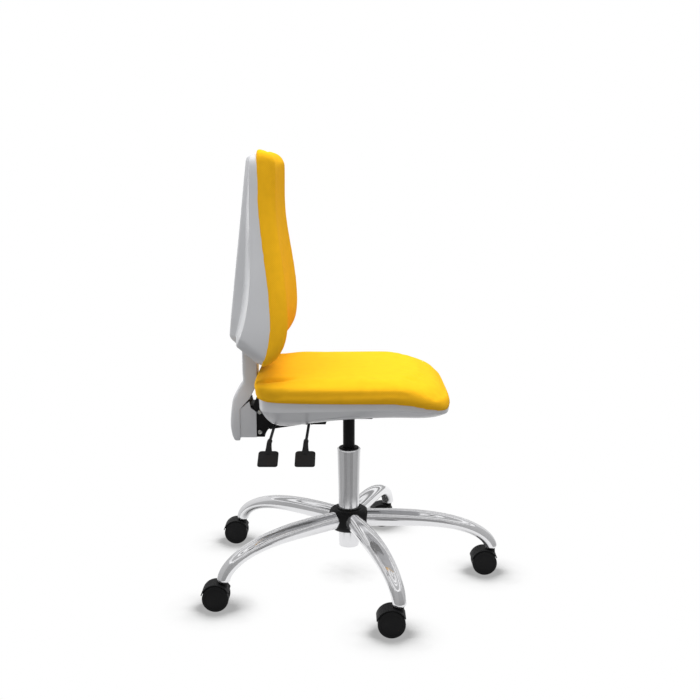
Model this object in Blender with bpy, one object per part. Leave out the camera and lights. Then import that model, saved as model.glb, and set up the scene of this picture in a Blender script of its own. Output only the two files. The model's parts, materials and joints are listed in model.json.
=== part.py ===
"""Office chair: padded seat and back on a reclining bar, a gas column and five legs on twin-wheel castors.

Metres, +Z up. The chair faces +X, and each piece is drawn round the column's axis before the root empty
moves the whole chair so that the middle of its footprint lies at the origin.
"""
import math

import bmesh
import bpy
from mathutils import Matrix, Vector

# Gaps
CLEARANCE = 0.0003
FENDER_GAP = 0.0006
SHELL_GAP = 0.0007

# Castors
WHEEL_RADIUS = 0.030
WHEEL_WIDTH = 0.0140
WHEEL_FACETS = 20
WHEEL_EDGE = 0.002
RIM_RING = 0.0040
FACE_RECESS = 0.0006
CASTOR_TRAIL = 0.017
WEB_HALF = 0.0080
FENDER_WALL = 0.0022
FENDER_SHORT = 0.0018
FENDER_FRONT = math.radians(25)
FENDER_BACK = math.radians(165)
HUB_DISC_RADIUS = 0.012
BOSS_RADIUS = 0.0100
BOSS_RISE = 0.0004
AXLE_RADIUS = 0.003
AXLE_COVER = 0.005
STEM_RADIUS = 0.005
STEM_IN_HOOD = 0.017
STEM_IN_LEG = 0.012

# Base
LEG_COUNT = 5
BASE_RADIUS = 0.350
LEG_RISE = 0.078
LEG_STRAIGHT = 0.060
LEG_SPAN_POWER = 3.2
LEG_DROP_POWER = 1.8
LEG_HALF_WIDTH = 0.0210
LEG_BELLY = 0.0036
LEG_HALF_HEIGHT = 0.0212
TIP_HALF_WIDTH = 0.0155
TIP_HALF_LENGTH = 0.0147
LEG_WALL = 0.002
LEG_HOLLOW_STEPS = 5
LEG_STEPS = 9
LEG_SIDES = 12
HUB_APOTHEM = 0.0297
HUB_HEIGHT = 0.047
HUB_COVER_RADIUS = 0.048
HUB_COVER_HEIGHT = 0.055
HUB_COVER_WALL = 0.003
HUB_COVER_ROUND = 0.006
LEG_EDGE = 0.0006

# Column
COLUMN_FOOT_RADIUS = 0.0244
COLUMN_WAIST_RADIUS = 0.0254
COLUMN_HEAD_RADIUS = 0.0284
COLUMN_BELOW_HUB = 0.070
COLUMN_LENGTH = 0.245
COLUMN_WAIST_RISE = 0.126
COLUMN_BORE = 0.0215
COLUMN_FLOOR = 0.003
COLUMN_FLOOR_HOLE = 0.0078
BUSH_LENGTH = 0.083
BUSH_FLANGE_RADIUS = 0.0240
BUSH_FLANGE = 0.0032
BEARING_RADIUS = 0.013
BEARING_HEIGHT = 0.007
ROD_RADIUS = 0.005
ROD_LENGTH = 0.1955
ROD_BELOW = 0.0055
ROD_SHOULDER_RADIUS = 0.010
ROD_SHOULDER = 0.004
PISTON_RADIUS = 0.0115
PISTON_LENGTH = 0.012
CLIP_RADIUS = 0.010
CLIP_THICKNESS = 0.0032
TUBE_RADIUS = 0.0142
TUBE_WALL = 0.002
TUBE_LENGTH = 0.300
TUBE_RAISED = 0.080
TUBE_SEAL = 0.008
TUBE_HEAD = 0.032
TURNED_SIDES = 24

# Mechanism under the seat
HOUSING_HALF_WIDTH = 0.0435
HOUSING_WALL = 0.003
HOUSING_TOP_RISE = 0.0092
HOUSING_DEPTH = 0.0612
HOUSING_NOSE = 0.075
HOUSING_CHIN = 0.055
HOUSING_CHIN_RISE = 0.025
HOUSING_STEP = 0.050
HOUSING_STEP_RUN = 0.005
HOUSING_STEP_DROP = 0.013
HOUSING_HEEL = 0.110
HOUSING_TAIL = 0.187
HOUSING_TAIL_DROP = 0.025
HOUSING_TAIL_HEIGHT = 0.030
HOUSING_SHOULDER = 0.150
HOUSING_SHOULDER_RISE = 0.030
SOCKET_RADIUS = 0.019
PIVOT_BACK = 0.118
PIVOT_RISE = 0.012
SHAFT_RADIUS = 0.007
SHAFT_HEAD_RADIUS = 0.0105
SHAFT_HEAD = 0.003
SPRING_WIRE = 0.0018
SPRING_TURNS = 6
SPRING_STEPS = 8
SPRING_SIDES = 5
SPRING_HALF_LENGTH = 0.026
PLATE_THICKNESS = 0.004
PLATE_HALF_WIDTH = 0.090
PLATE_FRONT = 0.100
PLATE_REAR = 0.110
PLATE_CORNER = 0.015

# Levers
LEVER_FROM_TAIL = 0.015
LEVER_SPACING = 0.079
LEVER_DROP = 0.004
LEVER_STANDOFF = 0.0085
LEVER_TAIL = 0.0055
LEVER_ROD_RADIUS = 0.00325
LEVER_REACH = 0.188
LEVER_PIN_RADIUS = 0.0022
EAR_INNER = 0.0045
EAR_THICKNESS = 0.003
EAR_HALF_HEIGHT = 0.006
EAR_LENGTH = 0.014
PADDLE_WIDTH = 0.0435
PADDLE_LENGTH = 0.0486
PADDLE_THICKNESS = 0.005
PADDLE_CORNER = 0.007
PADDLE_DROOP = math.radians(25.2)
NECK_RADIUS = 0.0055
NECK_SLEEVE = 0.020
NECK_RUN = 0.016
NECK_DROP = 0.0127
NECK_ROOT = 0.010
NECK_ROOT_RADIUS = 0.0065

# Seat
SEAT_DEPTH = 0.448
SEAT_WIDTH = 0.416
SEAT_FRONT_POWER = 4.5
SEAT_REAR_POWER = 8.0
SEAT_BAR_GAP = 0.0035
BOARD_THICKNESS = 0.012
BOARD_INSET = 0.036
SEAT_SIDES = 40
SEAT_HEIGHT = 0.045
SEAT_CROWN = 0.006
SEAM_FRONT_DROP = 0.027
SEAM_SIDE_DROP = 0.006
SEAM_REAR_RISE = 0.004
SEAT_FLAT_EDGE = 0.003
SEAT_BULGE_FRONT = 0.005
SEAT_BULGE_SIDE = 0.024
SEAT_BULGE_REAR = 0.028
SEAT_ROLL_FRONT = 0.075
SEAT_ROLL_SIDE = 0.041
SEAT_ROLL_REAR = 0.036
SEAM_INSET_FRONT = 0.003
SEAM_INSET_SIDE = 0.010
SEAM_INSET_REAR = 0.006
FRONT_BLEND_START = 0.15
FRONT_BLEND_END = 0.60
SHELL_WALL = 0.003
SHELL_RIM_INSETS = (0.004, 0.006, 0.004)
SHELL_LINE_INSETS = (0.009, 0.010, 0.0125)
SHELL_TURN_INSETS = (0.022, 0.028, 0.024)
SHELL_FLAT_INSETS = (0.045, 0.055, 0.045)
SHELL_FLOOR_DROP = 0.0545
SHELL_FLOOR_SLOPE = 0.0775
SHELL_FLOOR_BOW = 0.31
SHELL_SLOT_HALF_WIDTH = 0.050
SHELL_SLOT_ROOM = 0.005
SHELL_SLOT_TOP = 0.0055

# Back support
BAR_BACK = 0.1225
BAR_THICKNESS = 0.006
BAR_HALF_WIDTH = 0.0225
BAR_FOOT_DROP = 0.052
BAR_IN_BACK = 0.2465
FOOT_LENGTH = 0.0375
FOOT_HALF_WIDTH = 0.030
FOOT_DROP = 0.059
FOOT_HEIGHT = 0.077
FOOT_WALL = 0.004
FOOT_WELD = 0.001
BRACKET_THICKNESS = 0.004
BRACKET_EYE_RADIUS = 0.016
BRACKET_HEEL = 0.003
BRACKET_DROP = 0.056
BRACKET_BACK = 0.010
BRACKET_BACK_RISE = 0.016
BRACKET_RISE = 0.036
BRACKET_KNEE = 0.009
BRACKET_KNEE_DROP = 0.039
BOLT_FROM_FOOT_END = 0.011
BOLT_RISES = {"upper": 0.0027, "lower": -0.0456}
BOLT_RADIUS = 0.004
BOLT_HEAD_RADIUS = 0.0056
BOLT_HEAD = 0.004
COVER_CHEEK = 0.0034
COVER_REAR_WALL = 0.003
COVER_JOINT = 0.0137
COVER_JOINT_RISE = 0.0106
COVER_DROP = 0.058
COVER_FRONT = 0.0188
COVER_FRONT_RISE = 0.0034
COVER_BROW = 0.0059
COVER_BROW_RISE = 0.013
COVER_PEAK = 0.0025
COVER_PEAK_RISE = 0.029
CAP_HALF_WIDTH = 0.041
CAP_EDGE = 0.002
CAP_SHOULDER_RISE = 0.0348
CAP_SHOULDER_FRONT = 0.0030
CAP_SHOULDER_BACK = 0.0303
CAP_SHOULDER_HALF_WIDTH = 0.036
CAP_JOINT_BACK = 0.0345
CAP_JOINT_HALF_WIDTH = 0.040
CAP_BELLY_DROP = 0.026
CAP_BELLY_BACK = 0.0371
CAP_DROP = 0.0655
CAP_HEEL_FRONT = 0.0015
CAP_HEEL_BACK = 0.0280
CAP_HEEL_HALF_WIDTH = 0.040
NECK_RISE = 0.073
NECK_ROOT_RISE = 0.058
NECK_ROOT_FRONT = 0.0150
NECK_ROOT_BACK = 0.0187
NECK_ROOT_HALF_WIDTH = 0.030
NECK_FRONT = 0.0209
NECK_REAR = 0.0085
NECK_HALF_WIDTH = 0.027
NECK_WALL = 0.0025
NECK_IN_BACK = 0.0815

# Backrest
BACK_GAP = 0.0304
BACK_HEIGHT = 0.469
BACK_TOP_POWER = 12.0
BACK_BOTTOM_POWER = 8.0
BACK_CORNER_STEPS = 5
BACK_SETFORWARD = 0.071
BACK_SEAT_WIDTH = 0.434
BACK_TOP_WIDTH = 0.344
TAPER_START = 0.1065
TAPER_END = 0.3465
LEAN = 0.026
LEAN_START = 0.0965
LEAN_END = 0.3765
TUCK = 0.0220
BACK_THICKNESS = 0.038
BACK_DRAW_IN = 0.003
BACK_BULGE = 0.010
BACK_ROLL_SIDE = 0.016
BACK_ROLL_TOP = 0.030
BACK_ROLL_BOTTOM = 0.062
BACK_DISH = 0.014
DISH_SIDE = 0.6
DISH_SIDE_DEPTH = 0.65
BACK_FLAT_BOTTOM = 0.015
BACK_FLAT_TOP = 0.030
BACK_BOARD_THICKNESS = 0.010
BACK_BOARD_SETBACK = 0.003
BACK_BOARD_INSET = 0.016
BOARD_LEVELS_BELOW = 3
BOARD_LEVELS_ABOVE = 5
SHELL_BELOW = 0.0035
SHELL_SHORT = 0.009
SHELL_NARROW = 0.002
SHELL_EDGE_DEPTH = 0.018
SHELL_WING_DEPTH = 0.0535
SHELL_WING_POWER = 1.5
SHELL_TAIL_RISE = 0.058
SHELL_TAIL_STEPS = (0.025, 0.10, 0.25, 0.50, 0.75, 1.0)
SHELL_TOP_ZONE = 0.040
SHELL_TOP_STEPS = (0.45, 0.75, 0.92, 0.99)
SHELL_RISE_STEPS = 7
SHELL_TOP_POWER = 24
SHELL_RIM_BACK = 0.0018
SHELL_DRAFT = 0.002
SHELL_OVERCUT = 0.010
WING_EDGE = 0.065
WING_EDGE_SHARE = 0.60
SPINE_SHARE = 0.45
SPINE_HALF_WIDTH = 0.050
SPINE_TIP = 0.040
SPINE_BACK = 0.0355
SPINE_FORWARD = 0.0089
SPINE_LOW_RISE = 0.065
SPINE_HIGH_RISE = 0.450
SPINE_TAIL_RISE = 0.075
SPINE_DROP = 0.030
NECK_SLOT_ROOM = 0.0035
RATCHET_LOW = 0.1065
RATCHET_LENGTH = 0.100
RATCHET_HALF_WIDTH = 0.034
RATCHET_WALL = 0.004
RATCHET_GAP = 0.0010

# Heights and places that follow from the sizes above
FACET_REACH = WHEEL_RADIUS / math.cos(math.pi / WHEEL_FACETS)
FENDER_INNER = (FACET_REACH + FENDER_GAP) / math.cos(math.pi / WHEEL_FACETS)
FENDER_OUTER = FENDER_INNER + FENDER_WALL
CASTOR_TOP = WHEEL_RADIUS + FENDER_OUTER + BOSS_RISE
TIP_Z = CASTOR_TOP + CLEARANCE
HUB_Z = TIP_Z + LEG_RISE
COLUMN_LOW = HUB_Z - COLUMN_BELOW_HUB
COLUMN_TOP = COLUMN_LOW + COLUMN_LENGTH
TUBE_LOW = COLUMN_LOW + TUBE_RAISED
TUBE_TOP = TUBE_LOW + TUBE_LENGTH
HOUSING_TOP = TUBE_TOP + HOUSING_TOP_RISE
HOUSING_LOW = HOUSING_TOP - HOUSING_DEPTH
PIVOT_X = -PIVOT_BACK
PIVOT_Z = HOUSING_LOW + PIVOT_RISE
LEVER_Z = HOUSING_LOW - LEVER_DROP
LEVER_Y = -HOUSING_HALF_WIDTH - LEVER_STANDOFF
RECLINE_LEVER_X = LEVER_FROM_TAIL - HOUSING_TAIL
LEVER_XS = {"height": RECLINE_LEVER_X + LEVER_SPACING, "recline": RECLINE_LEVER_X}
PLATE_LOW = HOUSING_TOP + CLEARANCE
BOARD_LOW = PLATE_LOW + PLATE_THICKNESS + CLEARANCE
SEAT_LOW = BOARD_LOW + BOARD_THICKNESS + CLEARANCE
SEAT_SHOULDER = SEAT_LOW + SEAT_HEIGHT
SEAM_HEIGHTS = (SEAT_LOW - SEAM_FRONT_DROP, SEAT_LOW - SEAM_SIDE_DROP, SEAT_LOW + SEAM_REAR_RISE)
BAR_X = PIVOT_X - BAR_BACK
BAR_FRONT = BAR_X + BAR_THICKNESS / 2
BAR_REAR = BAR_X - BAR_THICKNESS / 2
NECK_FRONT_X = BAR_FRONT + NECK_FRONT
NECK_REAR_X = BAR_REAR - NECK_REAR
SEAT_REAR = NECK_FRONT_X + SEAT_BAR_GAP
SEAT_X = SEAT_REAR + SEAT_DEPTH / 2
BACK_LOW = SEAT_SHOULDER + BACK_GAP
BACK_TOP = BACK_LOW + BACK_HEIGHT
BACK_X = BAR_X + BACK_SETFORWARD
BACK_SHELL_LOW = BACK_LOW - SHELL_BELOW
BACK_SHELL_HEIGHT = BACK_HEIGHT + SHELL_BELOW - SHELL_SHORT
SHELL_TAIL_SLOPE = (SHELL_EDGE_DEPTH + SHELL_WING_DEPTH) / SHELL_TAIL_RISE
BRACKET_INNER = FOOT_HALF_WIDTH + CLEARANCE
BRACKET_OUTER = BRACKET_INNER + BRACKET_THICKNESS
FRONT_REACH = BASE_RADIUS + TIP_HALF_LENGTH
REAR_REACH = BASE_RADIUS * math.cos(math.pi / LEG_COUNT) + CASTOR_TRAIL - FENDER_OUTER * math.cos(FENDER_BACK)
COLUMN_X = (REAR_REACH - FRONT_REACH) / 2


def smoothstep(low, high, value):
    """0 below low, 1 above high and an even S between them."""
    share = min(1.0, max(0.0, (value - low) / (high - low)))
    return share * share * (3.0 - 2.0 * share)


def blend(start, end, share):
    return start + (end - start) * share


def mesh_of(points, faces):
    """A mesh of these points and faces, with every face pointing out."""
    mesh = bpy.data.meshes.new("shape")
    mesh.from_pydata([tuple(point) for point in points], [], faces)
    shaped = bmesh.new()
    shaped.from_mesh(mesh)
    bmesh.ops.recalc_face_normals(shaped, faces=shaped.faces)
    shaped.to_mesh(mesh)
    shaped.free()
    return mesh


def skin(rings, closed=False):
    """A mesh over rings of equally many points. An end is capped, may be one point, or joins the other."""
    points = [point for ring in rings for point in ring]
    starts = [sum(len(ring) for ring in rings[:place]) for place in range(len(rings))]
    pairs = list(zip(range(len(rings) - 1), range(1, len(rings))))
    if closed:
        pairs.append((len(rings) - 1, 0))
    faces = []
    for first, second in pairs:
        sides = max(len(rings[first]), len(rings[second]))
        for side in range(sides):
            after = (side + 1) % sides
            if len(rings[first]) == 1:
                corners = (starts[first], starts[second] + after, starts[second] + side)
            elif len(rings[second]) == 1:
                corners = (starts[first] + side, starts[first] + after, starts[second])
            else:
                corners = (starts[first] + side, starts[first] + after)
                corners += (starts[second] + after, starts[second] + side)
            faces.append(corners)
    if not closed:
        for end in (0, len(rings) - 1):
            if len(rings[end]) > 1:
                faces.append(tuple(range(starts[end], starts[end] + len(rings[end]))))
    return mesh_of(points, faces)


def turned(profile, sides=TURNED_SIDES, closed=False, axis="Z", phase=0.0):
    """A shape turned about an axis through the origin, from (radius, height along the axis) points."""
    rings = []
    for radius, along in profile:
        ring = []
        for side in range(sides):
            angle = 2 * math.pi * side / sides + phase
            across, up = radius * math.cos(angle), radius * math.sin(angle)
            ring.append({"Z": (across, up, along), "Y": (across, along, up), "X": (along, across, up)}[axis])
        rings.append(ring)
    return skin(rings, closed)


def slab(outline, axis, low, high):
    """A flat outline drawn out along an axis: (x, y) points along Z, or (x, z) points along Y."""
    if axis == "Z":
        return skin([[(x, y, level) for x, y in outline] for level in (low, high)])
    return skin([[(x, level, z) for x, z in outline] for level in (low, high)])


def block(low, high):
    """A box between two corners."""
    outline = [(low[0], low[1]), (high[0], low[1]), (high[0], high[1]), (low[0], high[1])]
    return slab(outline, "Z", low[2], high[2])


def moved(mesh, x=0.0, y=0.0, z=0.0, turn=None):
    """The same mesh, turned first where a rotation is given, and then moved."""
    mesh.transform(Matrix.Translation((x, y, z)) @ (turn or Matrix.Identity(4)))
    return mesh


def carved(body, tools, operation="DIFFERENCE"):
    """The body with each tool cut from it, or joined to it."""
    blank = bpy.data.objects.new("blank", body)
    helpers = [bpy.data.objects.new("helper", tool) for tool in tools]
    for helper in [blank] + helpers:
        bpy.context.scene.collection.objects.link(helper)
    for helper in helpers:
        step = blank.modifiers.new("step", "BOOLEAN")
        step.operation = operation
        step.solver = "EXACT"
        step.object = helper
    graph = bpy.context.evaluated_depsgraph_get()
    made = bpy.data.meshes.new_from_object(blank.evaluated_get(graph))
    for helper in [blank] + helpers:
        bpy.data.objects.remove(helper)
    return made


def joined(body, tools):
    return carved(body, tools, "UNION")


def arc(middle, radius, start, end, steps):
    """Points of an arc in a plane, ends included, with angles in radians."""
    angles = [blend(start, end, step / steps) for step in range(steps + 1)]
    return [(middle[0] + radius * math.cos(a), middle[1] + radius * math.sin(a)) for a in angles]


def finish(name, colour, roughness, metallic=0.0):
    """A plain material with a linear colour."""
    material = bpy.data.materials.new(name)
    material.use_nodes = True
    shader = material.node_tree.nodes["Principled BSDF"]
    shader.inputs["Base Color"].default_value = (*colour, 1.0)
    shader.inputs["Roughness"].default_value = roughness
    shader.inputs["Metallic"].default_value = metallic
    material.diffuse_color = (*colour, 1.0)
    return material


def pivot(name, place, parent=None):
    """An empty on a joint's axis, at a place given round the column's axis."""
    empty = bpy.data.objects.new(name, None)
    bpy.context.scene.collection.objects.link(empty)
    empty["place"] = tuple(place)
    empty.parent = parent
    empty.location = Vector(place) - Vector(parent["place"]) if parent else Vector(place)
    return empty


def piece(name, mesh, material, parent, local=False):
    """A named object under its pivot, drawn round the column's axis, or round its pivot if local."""
    if not local:
        moved(mesh, *(-Vector(parent["place"])))
    if not mesh.materials:
        mesh.materials.append(material)
    mesh.materials[0] = material
    mesh.shade_smooth()
    mesh.set_sharp_from_angle(angle=math.radians(35))
    obj = bpy.data.objects.new(name, mesh)
    bpy.context.scene.collection.objects.link(obj)
    obj.parent = parent
    return obj


# Castors, drawn round their own pivot with the floor at 0, or round their axle

def wheel(side):
    """A wheel on the +Y or the -Y side, with a facet flat on the floor, a blind bore and a ringed face."""
    inner = WEB_HALF + CLEARANCE
    outer = inner + WHEEL_WIDTH
    bore = AXLE_RADIUS + CLEARANCE
    edge = FACET_REACH - WHEEL_EDGE
    profile = [
        (bore, outer - AXLE_COVER),
        (bore, inner),
        (FACET_REACH, inner),
        (FACET_REACH, outer - WHEEL_EDGE),
        (edge, outer),
        (edge - RIM_RING, outer),
        (edge - RIM_RING - FACE_RECESS, outer - FACE_RECESS),
    ]
    facet_down = math.pi / WHEEL_FACETS - math.pi / 2
    placed = [(radius, side * along) for radius, along in profile]
    return turned(placed, WHEEL_FACETS, axis="Y", phase=facet_down)


def castor_hood():
    """Web between the wheels, fender over them and a boss under the leg."""
    axle = (-CASTOR_TRAIL, WHEEL_RADIUS)
    half = WEB_HALF + CLEARANCE + WHEEL_WIDTH - FENDER_SHORT
    past = half + WHEEL_WIDTH
    fender = slab([axle] + arc(axle, FENDER_OUTER, FENDER_FRONT, FENDER_BACK, 12), "Y", -half, half)
    disc = turned([(HUB_DISC_RADIUS, -WEB_HALF), (HUB_DISC_RADIUS, WEB_HALF)], 16, axis="Y")
    boss = turned([(BOSS_RADIUS, WHEEL_RADIUS + BOSS_RADIUS), (BOSS_RADIUS, CASTOR_TOP)], 16)
    body = joined(fender, [moved(disc, axle[0], 0, axle[1]), boss])
    facet_down = math.pi / WHEEL_FACETS - math.pi / 2
    rooms = []
    for side in (-1, 1):
        room = [(FENDER_INNER, side * WEB_HALF), (FENDER_INNER, side * past)]
        rooms.append(moved(turned(room, WHEEL_FACETS, axis="Y", phase=facet_down), axle[0], 0, axle[1]))
    axle_hole = turned([(AXLE_RADIUS + CLEARANCE, -past), (AXLE_RADIUS + CLEARANCE, past)], 12, axis="Y")
    stem_low = CASTOR_TOP - STEM_IN_HOOD - CLEARANCE
    stem_room = STEM_RADIUS + CLEARANCE
    stem_hole = turned([(stem_room, stem_low), (stem_room, CASTOR_TOP + past)], 12)
    return carved(body, rooms + [moved(axle_hole, axle[0], 0, axle[1]), stem_hole])


def castor_stem():
    return turned([(STEM_RADIUS, CASTOR_TOP - STEM_IN_HOOD), (STEM_RADIUS, TIP_Z + STEM_IN_LEG)], 12)


def castor_axle():
    reach = WEB_HALF + CLEARANCE + WHEEL_WIDTH - AXLE_COVER - CLEARANCE
    return turned([(AXLE_RADIUS, -reach), (AXLE_RADIUS, reach)], 12, axis="Y")


# Base

def leg_section(radius, height, half_width, half_height, tangent=(1.0, 0.0)):
    """An oval ring square to the leg's run, with the leg along +X."""
    ring = []
    for side in range(LEG_SIDES):
        angle = 2 * math.pi * side / LEG_SIDES
        across = half_width * math.cos(angle)
        up = half_height * math.sin(angle)
        ring.append((radius - tangent[1] * up, across, height + tangent[0] * up))
    return ring


def leg_run(share):
    """Radius and height of the leg's middle line: flat at the hub, dropping ever faster to the tip."""
    angle = share * math.pi / 2
    along = math.sin(angle) ** (2 / LEG_SPAN_POWER)
    height = math.cos(angle) ** (2 / LEG_DROP_POWER)
    return blend(LEG_STRAIGHT, BASE_RADIUS, along), TIP_Z + LEG_RISE * height, along


def leg_ring(step, inset=0.0):
    """The leg's oval ring at one of its steps."""
    radius, height, along = leg_run(step / LEG_STEPS)
    tangent = Vector((1.0, 0.0))
    if step == LEG_STEPS:
        tangent = Vector((0.0, -1.0))
    elif step > 0:
        before, after = leg_run((step - 0.1) / LEG_STEPS), leg_run((step + 0.1) / LEG_STEPS)
        tangent = Vector((after[0] - before[0], after[1] - before[1])).normalized()
    belly = LEG_BELLY * math.sin(math.pi * along)
    half_width = blend(LEG_HALF_WIDTH, TIP_HALF_WIDTH, along * along) + belly
    half_height = blend(LEG_HALF_HEIGHT, TIP_HALF_LENGTH, smoothstep(0.1, 0.95, along))
    return leg_section(radius, height, half_width - inset, half_height - inset, tangent)


def leg_root(inset=0.0):
    """The leg's end ring, as wide as the flat of the hub that it stands on."""
    half_width = HUB_APOTHEM * math.tan(math.pi / LEG_COUNT) - LEG_EDGE
    return leg_section(HUB_APOTHEM + CLEARANCE, HUB_Z, half_width - inset, LEG_HALF_HEIGHT - inset)


def leg():
    """A leg along +X: an oval tube, solid at the tip, with a blind hole there for the castor's stem."""
    rings = [leg_ring(step, LEG_WALL) for step in range(LEG_HOLLOW_STEPS, -1, -1)]
    rings += [leg_root(LEG_WALL), leg_root()]
    rings += [leg_ring(step) for step in range(LEG_STEPS + 1)]
    hole = STEM_RADIUS + CLEARANCE
    for height in (TIP_Z, TIP_Z + STEM_IN_LEG + CLEARANCE):
        rings.append(leg_section(BASE_RADIUS, height, hole, hole, (0.0, -1.0)))
    return skin(rings)


def column_radius(height):
    """The column's outer radius, which widens a little to the waist and more to the head."""
    waist = COLUMN_LOW + COLUMN_WAIST_RISE
    if height < waist:
        return blend(COLUMN_FOOT_RADIUS, COLUMN_WAIST_RADIUS, (height - COLUMN_LOW) / COLUMN_WAIST_RISE)
    return blend(COLUMN_WAIST_RADIUS, COLUMN_HEAD_RADIUS, (height - waist) / (COLUMN_TOP - waist))


def base_hub():
    """A five-sided sleeve round the column, with a flat for each leg."""
    reach = HUB_APOTHEM / math.cos(math.pi / LEG_COUNT)
    corners = [math.pi * (2 * side + 1) / LEG_COUNT for side in range(LEG_COUNT)]
    outline = [(reach * math.cos(angle), reach * math.sin(angle)) for angle in corners]
    low, high = HUB_Z - HUB_HEIGHT / 2, HUB_Z + HUB_HEIGHT / 2
    bore = column_radius(high) + CLEARANCE
    hole = turned([(bore, low - HUB_HEIGHT), (bore, high + HUB_HEIGHT)])
    return carved(slab(outline, "Z", low, high), [hole])


def hub_cover():
    """A round cover over the hub, with a hole for each leg."""
    low, high = HUB_Z - HUB_COVER_HEIGHT / 2, HUB_Z + HUB_COVER_HEIGHT / 2
    inner = HUB_COVER_RADIUS - HUB_COVER_WALL
    inner_round = HUB_COVER_ROUND - HUB_COVER_WALL
    upper_hole = column_radius(high) + CLEARANCE
    lower_hole = column_radius(low) + 2 * CLEARANCE
    profile = [
        (lower_hole, low),
        (HUB_COVER_RADIUS - HUB_COVER_ROUND, low),
        (HUB_COVER_RADIUS, low + HUB_COVER_ROUND),
        (HUB_COVER_RADIUS, high - HUB_COVER_ROUND),
        (HUB_COVER_RADIUS - HUB_COVER_ROUND, high),
        (upper_hole, high),
        (upper_hole, high - HUB_COVER_WALL),
        (inner - inner_round, high - HUB_COVER_WALL),
        (inner, high - HUB_COVER_ROUND),
        (inner, low + HUB_COVER_ROUND),
        (inner - inner_round, low + HUB_COVER_WALL),
        (lower_hole, low + HUB_COVER_WALL),
    ]
    stubs = []
    for place in range(LEG_COUNT):
        stub = skin([leg_root(-CLEARANCE), leg_ring(0, -CLEARANCE)])
        stubs.append(moved(stub, turn=Matrix.Rotation(2 * math.pi * place / LEG_COUNT, 4, "Z")))
    return carved(turned(profile, closed=True), stubs)


# Column

def column_tube():
    floor = COLUMN_LOW + COLUMN_FLOOR
    profile = [
        (COLUMN_FLOOR_HOLE, COLUMN_LOW),
        (COLUMN_FOOT_RADIUS, COLUMN_LOW),
        (COLUMN_WAIST_RADIUS, COLUMN_LOW + COLUMN_WAIST_RISE),
        (COLUMN_HEAD_RADIUS, COLUMN_TOP),
        (COLUMN_BORE, COLUMN_TOP),
        (COLUMN_BORE, floor),
        (COLUMN_FLOOR_HOLE, floor),
    ]
    return turned(profile, closed=True)


def column_bush():
    """The sleeve that guides the gas tube, with a flange on the column's top."""
    inner, outer = TUBE_RADIUS + CLEARANCE, COLUMN_BORE - CLEARANCE
    seat = COLUMN_TOP + CLEARANCE
    profile = [
        (inner, seat - BUSH_LENGTH),
        (outer, seat - BUSH_LENGTH),
        (outer, seat),
        (BUSH_FLANGE_RADIUS, seat),
        (BUSH_FLANGE_RADIUS, seat + BUSH_FLANGE),
        (inner, seat + BUSH_FLANGE),
    ]
    return turned(profile, closed=True)


def thrust_bearing():
    low = COLUMN_LOW + COLUMN_FLOOR + CLEARANCE
    inner = ROD_RADIUS + 2 * CLEARANCE
    profile = [(inner, low), (BEARING_RADIUS, low)]
    profile += [(BEARING_RADIUS, low + BEARING_HEIGHT), (inner, low + BEARING_HEIGHT)]
    return turned(profile, closed=True)


def piston_rod():
    """The gas spring's rod: its shoulder stands on the bearing, and its piston slides in the gas tube."""
    low = COLUMN_LOW - ROD_BELOW
    shoulder = COLUMN_LOW + COLUMN_FLOOR + BEARING_HEIGHT + 2 * CLEARANCE
    top = low + ROD_LENGTH
    profile = [
        (ROD_RADIUS, low),
        (ROD_RADIUS, shoulder),
        (ROD_SHOULDER_RADIUS, shoulder),
        (ROD_SHOULDER_RADIUS, shoulder + ROD_SHOULDER),
        (ROD_RADIUS, shoulder + ROD_SHOULDER),
        (ROD_RADIUS, top - PISTON_LENGTH),
        (PISTON_RADIUS, top - PISTON_LENGTH),
        (PISTON_RADIUS, top),
    ]
    return turned(profile, 16)


def rod_clip():
    """The ring that keeps the rod in the column's floor."""
    high = COLUMN_LOW - CLEARANCE
    inner = ROD_RADIUS + CLEARANCE
    low = high - CLIP_THICKNESS
    profile = [(inner, low), (CLIP_RADIUS, low), (CLIP_RADIUS, high), (inner, high)]
    return turned(profile, 16, closed=True)


def gas_tube():
    hole = ROD_RADIUS + CLEARANCE
    bore = TUBE_RADIUS - TUBE_WALL
    profile = [
        (TUBE_RADIUS, TUBE_TOP),
        (TUBE_RADIUS, TUBE_LOW),
        (hole, TUBE_LOW),
        (hole, TUBE_LOW + TUBE_SEAL),
        (bore, TUBE_LOW + TUBE_SEAL),
        (bore, TUBE_TOP - TUBE_HEAD),
    ]
    return turned(profile)


# Mechanism under the seat

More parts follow.
